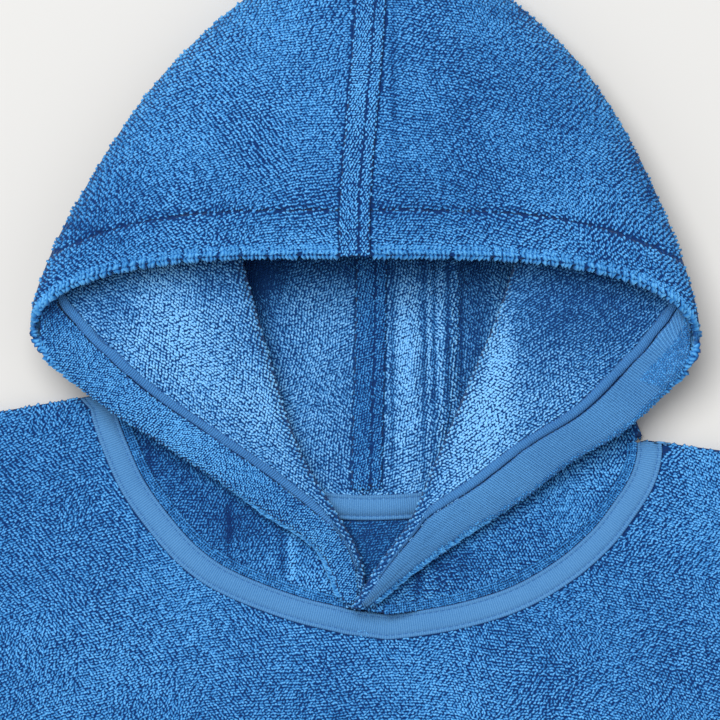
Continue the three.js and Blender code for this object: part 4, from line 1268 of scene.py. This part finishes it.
def neck_row():
    """Loops of the hood that stand close against the neck tape."""
    seats = []
    for side in ("left", "right"):
        for row, out in enumerate((-0.5, -1.5, -2.6, -3.8)):
            for k, f in enumerate(steps(0.02, 0.985, 130)):
                draw = chance(k, row * 7 + (160 if side == "left" else 190))
                p = neck_edge(side, f, out)
                place = Vector((p[0], p[1], neck_seam_z(side, f) + 1.35 + 0.3 * row + 0.3 * draw[4]))
                seats.append(seat_at(place, Vector((0, 0, 1)), 6.3 * draw[3], draw, 1.05, lighter=-0.5))
    return grains("loops_neck_seam", seats, outer_pile)


neck_front, neck_front_grid = front_neck_tape()
neck_loops = neck_row()
neck_back, neck_back_grid = back_neck_tape()


# Centre seam


# Rows of the seam's grid on the crown, and the columns of its stitched groove
FELL_STOPS = 62
FELL_GROOVE = (5, 6)


def over_hem(i):
    """How much the seam's strip rises where it crosses the brow's hem."""
    return 0.85 if i > 6.9 else 0


def seam_fell(outside):
    stops = [(i, "crown") for i in reversed(steps(0.25, BROW, FELL_STOPS))]
    stops += [(0, "back")] + [(i, "back") for i in steps(0.25, 10.75, 60)]
    points = []
    for i, where in stops:
        seam = seam_at(i)
        points.append((seam[where + "_x"], seam[where + "_y"], seam[where + "_z"]))
    half = FELL_WIDTH / 2
    across = [-half, -half + 0.6, -half * 0.6, -half * 0.3, 0, 1.2, 1.8, 2.4, half * 0.7, half - 0.6, half]
    rise = [-0.6, 0, 0.1, 0.12, 0.1, 0, -0.7, 0, 0.1, 0, -0.6]
    sign = 1 if outside else -1
    grid = []
    for k, p in enumerate(points):
        q, o = points[max(0, k - 1)], points[min(len(points) - 1, k + 1)]
        long = math.hypot(o[1] - q[1], o[2] - q[2])
        normal = (-(o[2] - q[2]) / long, (o[1] - q[1]) / long)
        i, where = stops[k]
        near = math.exp(-((i / 1.6) ** 2))
        base = WALL / 2 + SEAM_GAP + 0.3 * near + FELL_WALL / 2
        base += over_hem(i) if outside and where == "crown" else 0
        line = []
        for x, up in zip(across, rise):
            lifted = base + up * 0.7
            line.append((
                p[0] + x,
                p[1] + normal[0] * lifted * sign - 0.3 * near * (x / 6.5) ** 2,
                p[2] + normal[1] * lifted * sign,
            ))
        grid.append(line)
    name = "outer" if outside else "inner"
    piece = sheet("fell_hood_" + name, grid, flip=not outside)
    mark(piece, "looped_outside", lambda p: 1.0)
    return dressed(piece, [outer_cloth], FELL_WALL, "hood_seam_" + name), grid


fell_outer, fell_outer_grid = seam_fell(True)
fell_inner, fell_inner_grid = seam_fell(False)


def fell_pile():
    """Loops on the centre seam, outside on the crown and inside down the back."""

    def on_crown(r, c):
        return r < FELL_STOPS and c not in FELL_GROOVE

    def down_back(r, c):
        return r > FELL_STOPS + 4 and c not in FELL_GROOVE

    crown, back = [], []
    light = nap_and_painted_shade([(0, 130, 60, 80, 0.45)])
    # The strip down the back wall is darkened: painted shade, as it lies in the hood's shade.
    dark = nap_and_painted_shade([(0, 30, 60, 90, -0.35)])
    outer, inner = slanted_flow(60, 51.5, 1.2), slanted_flow(80, 61.5, 1.2)
    pile(fell_outer_grid, outer, 1, crown, on_crown, scale=0.9, wall=0.6, lighter=light)
    pile(fell_inner_grid, inner, -1, back, down_back, scale=0.9, wall=0.6, lighter=dark)
    return grains("loops_fell_outer", crown, outer_pile), grains("loops_fell_inner", back, outer_pile)


fell_loops = fell_pile()


# Facing and its tape along the hood's front edge


EDGE_TRACK = [
    *((BROW, j) for j in steps(0.3, 7.8, 30)),
    (BROW, SIDE_TURN),
    *((i, SIDE_TURN) for i in (8.06, 8.12, 8.2, 8.27, 8.36, 8.45, 8.57, 8.7, 8.85)),
    *((i, SIDE_TURN) for i in steps(9, 14.9, 48)),
]


def walk_in(side, stop, distances):
    """Places on the surface at several distances in from the front edge, and the length walked."""
    i0, j0 = stop
    on_crown = clamp01((j0 - 6.2) / (SIDE_TURN - 6.2))
    on_side = clamp01((i0 - BROW) / 0.7)
    turn = ease(on_crown * 0.5 + on_side * 0.5) * math.pi / 2
    di, dj = -math.cos(turn), math.sin(turn) * (LAPEL - SIDE_TURN)
    found, walked = [], 0.0
    here, p = (i0, j0), hood_point(side, i0, j0)
    for distance in distances:
        while walked < distance:
            beyond = (here[0] + di * 0.03, here[1] + dj * 0.03)
            if beyond[1] > RIDGE - 0.5:
                break
            q = hood_point(side, *beyond)
            walked += math.dist(p, q)
            here, p = beyond, q
        found.append(here)
    return found, walked


def off_inside(side, at, away):
    """A point moved off the hood's inner face."""
    i, j = at
    step = 0.05

    def along(di, dj):
        return Vector(hood_point(side, i + di, j + dj))

    on_side = i > BROW
    side_step = 0 if on_side and j - step < SIDE_TURN else -step
    across = along(0, step) - along(0, side_step)
    down_step = 0 if not on_side and i + step > BROW and j < SIDE_TURN else step
    down = along(down_step, 0) - along(-step, 0)
    normal = across.cross(down).normalized()
    return tuple(along(0, 0) + normal * away * SIGN[side])


def corner_amount(stop):
    """How near a place on the front edge is to the hood's side corner."""
    return math.exp(-(((stop[0] - BROW) / 0.7) ** 2) - ((SIDE_TURN - stop[1]) / 1.6) ** 2)


def edge_strip(side, stops, distances, rises, wall):
    """A strip along the front edge: a row for each distance in, raised off the cloth."""
    grid = [[] for _ in distances]
    for stop in stops:
        room = min(1, walk_in(side, stop, [HEM_WIDTH + 2])[1] / (HEM_WIDTH + 1))
        corner = corner_amount(stop)
        wanted = [d * room + corner * (1 - d / HEM_WIDTH) for d in distances]
        for k, at in enumerate(walk_in(side, stop, wanted)[0]):
            away = WALL / 2 + 0.45 + corner + wall / 2 + rises[k]
            grid[k].append(off_inside(side, at, away))
    return grid


def rolled_edge(side, grid, stops):
    """Rows put before a facing's first one, which roll it over the free edge of the turned-back side."""
    rolls = [[], [], [], []]
    for k, stop in enumerate(stops):
        first, beyond = Vector(grid[0][k]), Vector(grid[3][k])
        inward = (beyond - first).normalized()
        along = Vector(grid[0][min(len(stops) - 1, k + 1)]) - Vector(grid[0][max(0, k - 1)])
        up = along.cross(inward).normalized()
        if up.z < 0:
            up.negate()
        amount = mix(0.1, 1, ease((stop[0] - BROW - 0.05) / 0.6))
        for row, (out, down) in zip(rolls, ((1.9, 4.2), (2.6, 3.0), (2.2, 1.5), (1.2, 0.4))):
            row.append(tuple(first - inward * out * amount - up * down * amount))
    return [*rolls, *grid]


def facing(side):
    distances = [0.8, 1.6, 3, 5, 8, 11, 14, 17, 18.6, 19.2]
    rises = [0.2, 0.5, 0.8, 1.0, 1.05, 0.9, 0.6, 0.3, 0, -0.35]
    grid = edge_strip(side, EDGE_TRACK, distances, rises, TAPE_WALL)
    grid = rolled_edge(side, grid, EDGE_TRACK)
    piece = sheet("facing_" + side, grid, flip=side == "left")
    mark(piece, "looped_outside", lambda p: 1.0)
    finish = facing_knit if side == "right" else outer_cloth
    return dressed(piece, [finish], FACING_WALL, "hood_facing_" + side), grid


def facing_tape(side):
    """Narrow tape over the facing's inner edge."""
    distances = [HEM_WIDTH + 0.2 + EDGE_TAPE_WIDTH * t for t in (0, 0.1, 0.3, 0.5, 0.7, 0.9, 1)]
    rises = [-0.5, 0.3, 0.6, 0.65, 0.6, 0.3, -0.5]
    stops = [stop for stop in EDGE_TRACK if stop[0] <= 14.3]
    grid = edge_strip(side, stops, distances, rises, 0.8)
    piece = sheet("tape_edge_" + side, grid, flip=side == "left")
    return dressed(piece, [edge_rib], THIN_WALL, "hood_tape_" + side), grid


FACING_NAP = [
    (-142, 54, 12, 10, -1.1), (-90, -5, 50, 40, 0.6), (-30, -65, 20, 20, 0.5), (140, 40, 16, 16, -0.4),
]


def facing_pile(side, grid):
    """Short close loops on the left facing, and along the outer edge of the right one."""
    seats = []
    light = nap_and_painted_shade(FACING_NAP)

    def used(r, c):
        return side == "left" or r < 5 or 28 < c < 42 and r < 9

    rows = slanted_flow(-48 * SIGN[side], 71.5, 0.9)
    pile(grid, rows, -SIGN[side], seats, used, scale=0.8, wall=FACING_WALL, lighter=light)
    return grains("loops_facing_" + side, seats, outer_pile)


facings = {side: facing(side) for side in ("left", "right")}
facing_loops = {side: facing_pile(side, facings[side][1]) for side in ("left", "right")}
edge_tapes = {side: facing_tape(side) for side in ("left", "right")}
hood_loops = {side: hood_pile(side, halves[side][1], edge_tapes[side][1]) for side in ("left", "right")}


# Rolled front edge with its row of large loops


# Rows of large loops: distance in from the edge, size, lean along the edge, height
EDGE_ROWS = [
    (-0.2, 1.25, 0.25, 0.7),
    (1.7, 1.2, -0.4, 1.7),
    (3.7, 0.95, 0.5, 1.9),
]
# Sections where the large loops of the brow end, and where they start again towards the neck
RIM_END = 9.9
NECK_RIM = 11.8
LARGE_PITCH = 2.0


def rim_path(side):
    """Points along the rim from brow to neck, each with one further in and how large its loops are."""
    path = []
    for j in steps(0.3, SIDE_TURN, 120):
        path.append((hood_point(side, BROW, j), hood_point(side, BROW - 0.25, j), 1.0))
    for i in steps(8.02, RIM_END, 90):
        fade = 1 - ease((i - 8.6) / (RIM_END - 8.6))
        path.append((hood_point(side, i, SIDE_TURN), hood_point(side, i, SIDE_TURN + 0.4), fade))
    for i in steps(NECK_RIM, 14.85, 60):
        grown = 0.85 * ease((i - NECK_RIM) / 1.4)
        path.append((hood_point(side, i, SIDE_TURN), hood_point(side, i, SIDE_TURN + 0.4), grown))
    return path


def edge_loops(side):
    """Rows of large loops along the brow, outside, that run on round the corner and die away."""
    seats = []
    path = rim_path(side)
    for row, (back, scale, lean, rise) in enumerate(EDGE_ROWS):
        walked, wanted, count = 0.0, 0.0, 0
        for (p, inner, size), (q, _, _) in zip(path, path[1:]):
            walked += math.dist(p, q)
            if walked < wanted or size < 0.05:
                continue
            wanted += LARGE_PITCH * mix(0.7, 1, size)
            count += 1
            draw = chance(count, row + (50 if side == "left" else 80))
            p, inner = Vector(p), Vector(inner)
            inward = (inner - p).normalized()
            forward = (Vector(q) - p).normalized()
            up = inward.cross(forward).normalized()
            if up.z < 0:
                up.negate()
            on_crown = size == 1.0
            if on_crown:
                up = (up - inward * (0.8 if row == 0 else 0.1)).normalized()
                place = p + inward * back + Vector((0, 0, rise))
            else:
                up = (up - inward * (1.6 if row == 0 else 0.5)).normalized()
                place = p + inward * (back * 0.5 - 1.0) * size + up * 1.2 * size
            along = inward + forward * (lean + draw[2] - 0.5)
            along = (along - up * along.dot(up)).normalized()
            scale_here = scale * mix(0.5, 1, size) * (0.8 + 0.45 * draw[3])
            sizes = (1.65 * scale_here, 1.1 * scale_here, 1.3 * scale_here)
            bend = 0.8 * (1 if draw[0] > 0.5 else -1)
            seats.append((tuple(place), tuple(along), tuple(up), (*sizes, bend, 0.15 + 0.6 * draw[1])))
    return grains("loops_edge_" + side, seats, outer_pile)


edge_piles = {side: edge_loops(side) for side in ("left", "right")}


# Stitches


STITCH_LENGTH = 2.2
STITCH_GAP = 0.7


def stitch_row(name, line):
    """A row of machine stitches along a line of points."""
    seats = []
    walked, wanted = 0.0, 0.5
    for k in range(len(line) - 1):
        p, q = Vector(line[k]), Vector(line[k + 1])
        span = (q - p).length
        while span > 0 and walked + span > wanted:
            place = p.lerp(q, (wanted - walked) / span)
            along = (q - p).normalized()
            side_way = along.cross(Vector((0, 0, 1)))
            up = side_way.cross(along).normalized()
            sizes = (STITCH_LENGTH / 2, 0.28, 0.32, 0.0, 0.5)
            seats.append((tuple(place), tuple(along), tuple(up), sizes))
            wanted += STITCH_LENGTH + STITCH_GAP
        walked += span
    return grains(name, seats, thread)


def grid_line(grid, distance_row, up):
    """One row of a tape's grid, raised a little, as a line to stitch along."""
    return [(p[0], p[1], p[2] + up) for p in grid[distance_row]]


stitches = [
    stitch_row("stitches_neck_inner", grid_line(neck_front_grid, 3, 0.1)),
    stitch_row("stitches_neck_outer", grid_line(neck_front_grid, 9, 0.1)),
    stitch_row("stitches_back_upper", grid_line(neck_back_grid, 3, 0.1)),
    stitch_row("stitches_back_lower", grid_line(neck_back_grid, 9, 0.1)),
]
for side in ("left", "right"):
    stitches.append(stitch_row("stitches_facing_" + side, grid_line(facings[side][1], 13, 0.5)))
    stitches.append(stitch_row("stitches_edge_" + side, grid_line(edge_tapes[side][1], 6, 0.5)))


# Table, light and camera


def table_top():
    bm = bmesh.new()
    bmesh.ops.create_grid(bm, x_segments=1, y_segments=1, size=6)
    mesh = bpy.data.meshes.new("table")
    bm.to_mesh(mesh)
    bm.free()
    table = bpy.data.objects.new("table", mesh)
    bpy.context.scene.collection.objects.link(table)
    finish, _, shader = new_finish("pale_table", 0.85, 0.0)
    shader.inputs["Base Color"].default_value = (0.580, 0.577, 0.567, 1)
    mesh.materials.append(finish)


def area_light(name, place, target, size, power, colour):
    data = bpy.data.lights.new(name, "AREA")
    data.shape = "DISK"
    data.size = size
    data.energy = power
    data.color = colour
    lamp = bpy.data.objects.new(name, data)
    lamp.location = place
    lamp.rotation_euler = (Vector(target) - Vector(place)).to_track_quat("-Z", "Y").to_euler()
    bpy.context.scene.collection.objects.link(lamp)


def studio():
    world = bpy.data.worlds.new("studio")
    world.use_nodes = True
    background = world.node_tree.nodes["Background"]
    background.inputs["Color"].default_value = (0.97, 0.98, 1.0, 1)
    background.inputs["Strength"].default_value = 0.62
    bpy.context.scene.world = world
    hood = to_table((0, 40, 20))
    area_light("key", hood + Vector((-0.9, 1.4, 4.3)), hood, 3.2, 228, (1.0, 0.99, 0.97))
    bpy.context.scene.view_settings.view_transform = "Standard"


# Width of the picture on the table in millimetres, and the camera's height over it in metres
PHOTO_WIDTH = 324
CAMERA_HEIGHT = 4.0


def camera():
    data = bpy.data.cameras.new("camera")
    data.sensor_width = 36
    data.lens = 36 * CAMERA_HEIGHT / (PHOTO_WIDTH * MM)
    eye = bpy.data.objects.new("camera", data)
    eye.location = to_table((-2.25, 27, 0)) + Vector((0, 0, CAMERA_HEIGHT))
    bpy.context.scene.collection.objects.link(eye)
    bpy.context.scene.camera = eye


table_top()
studio()
camera()
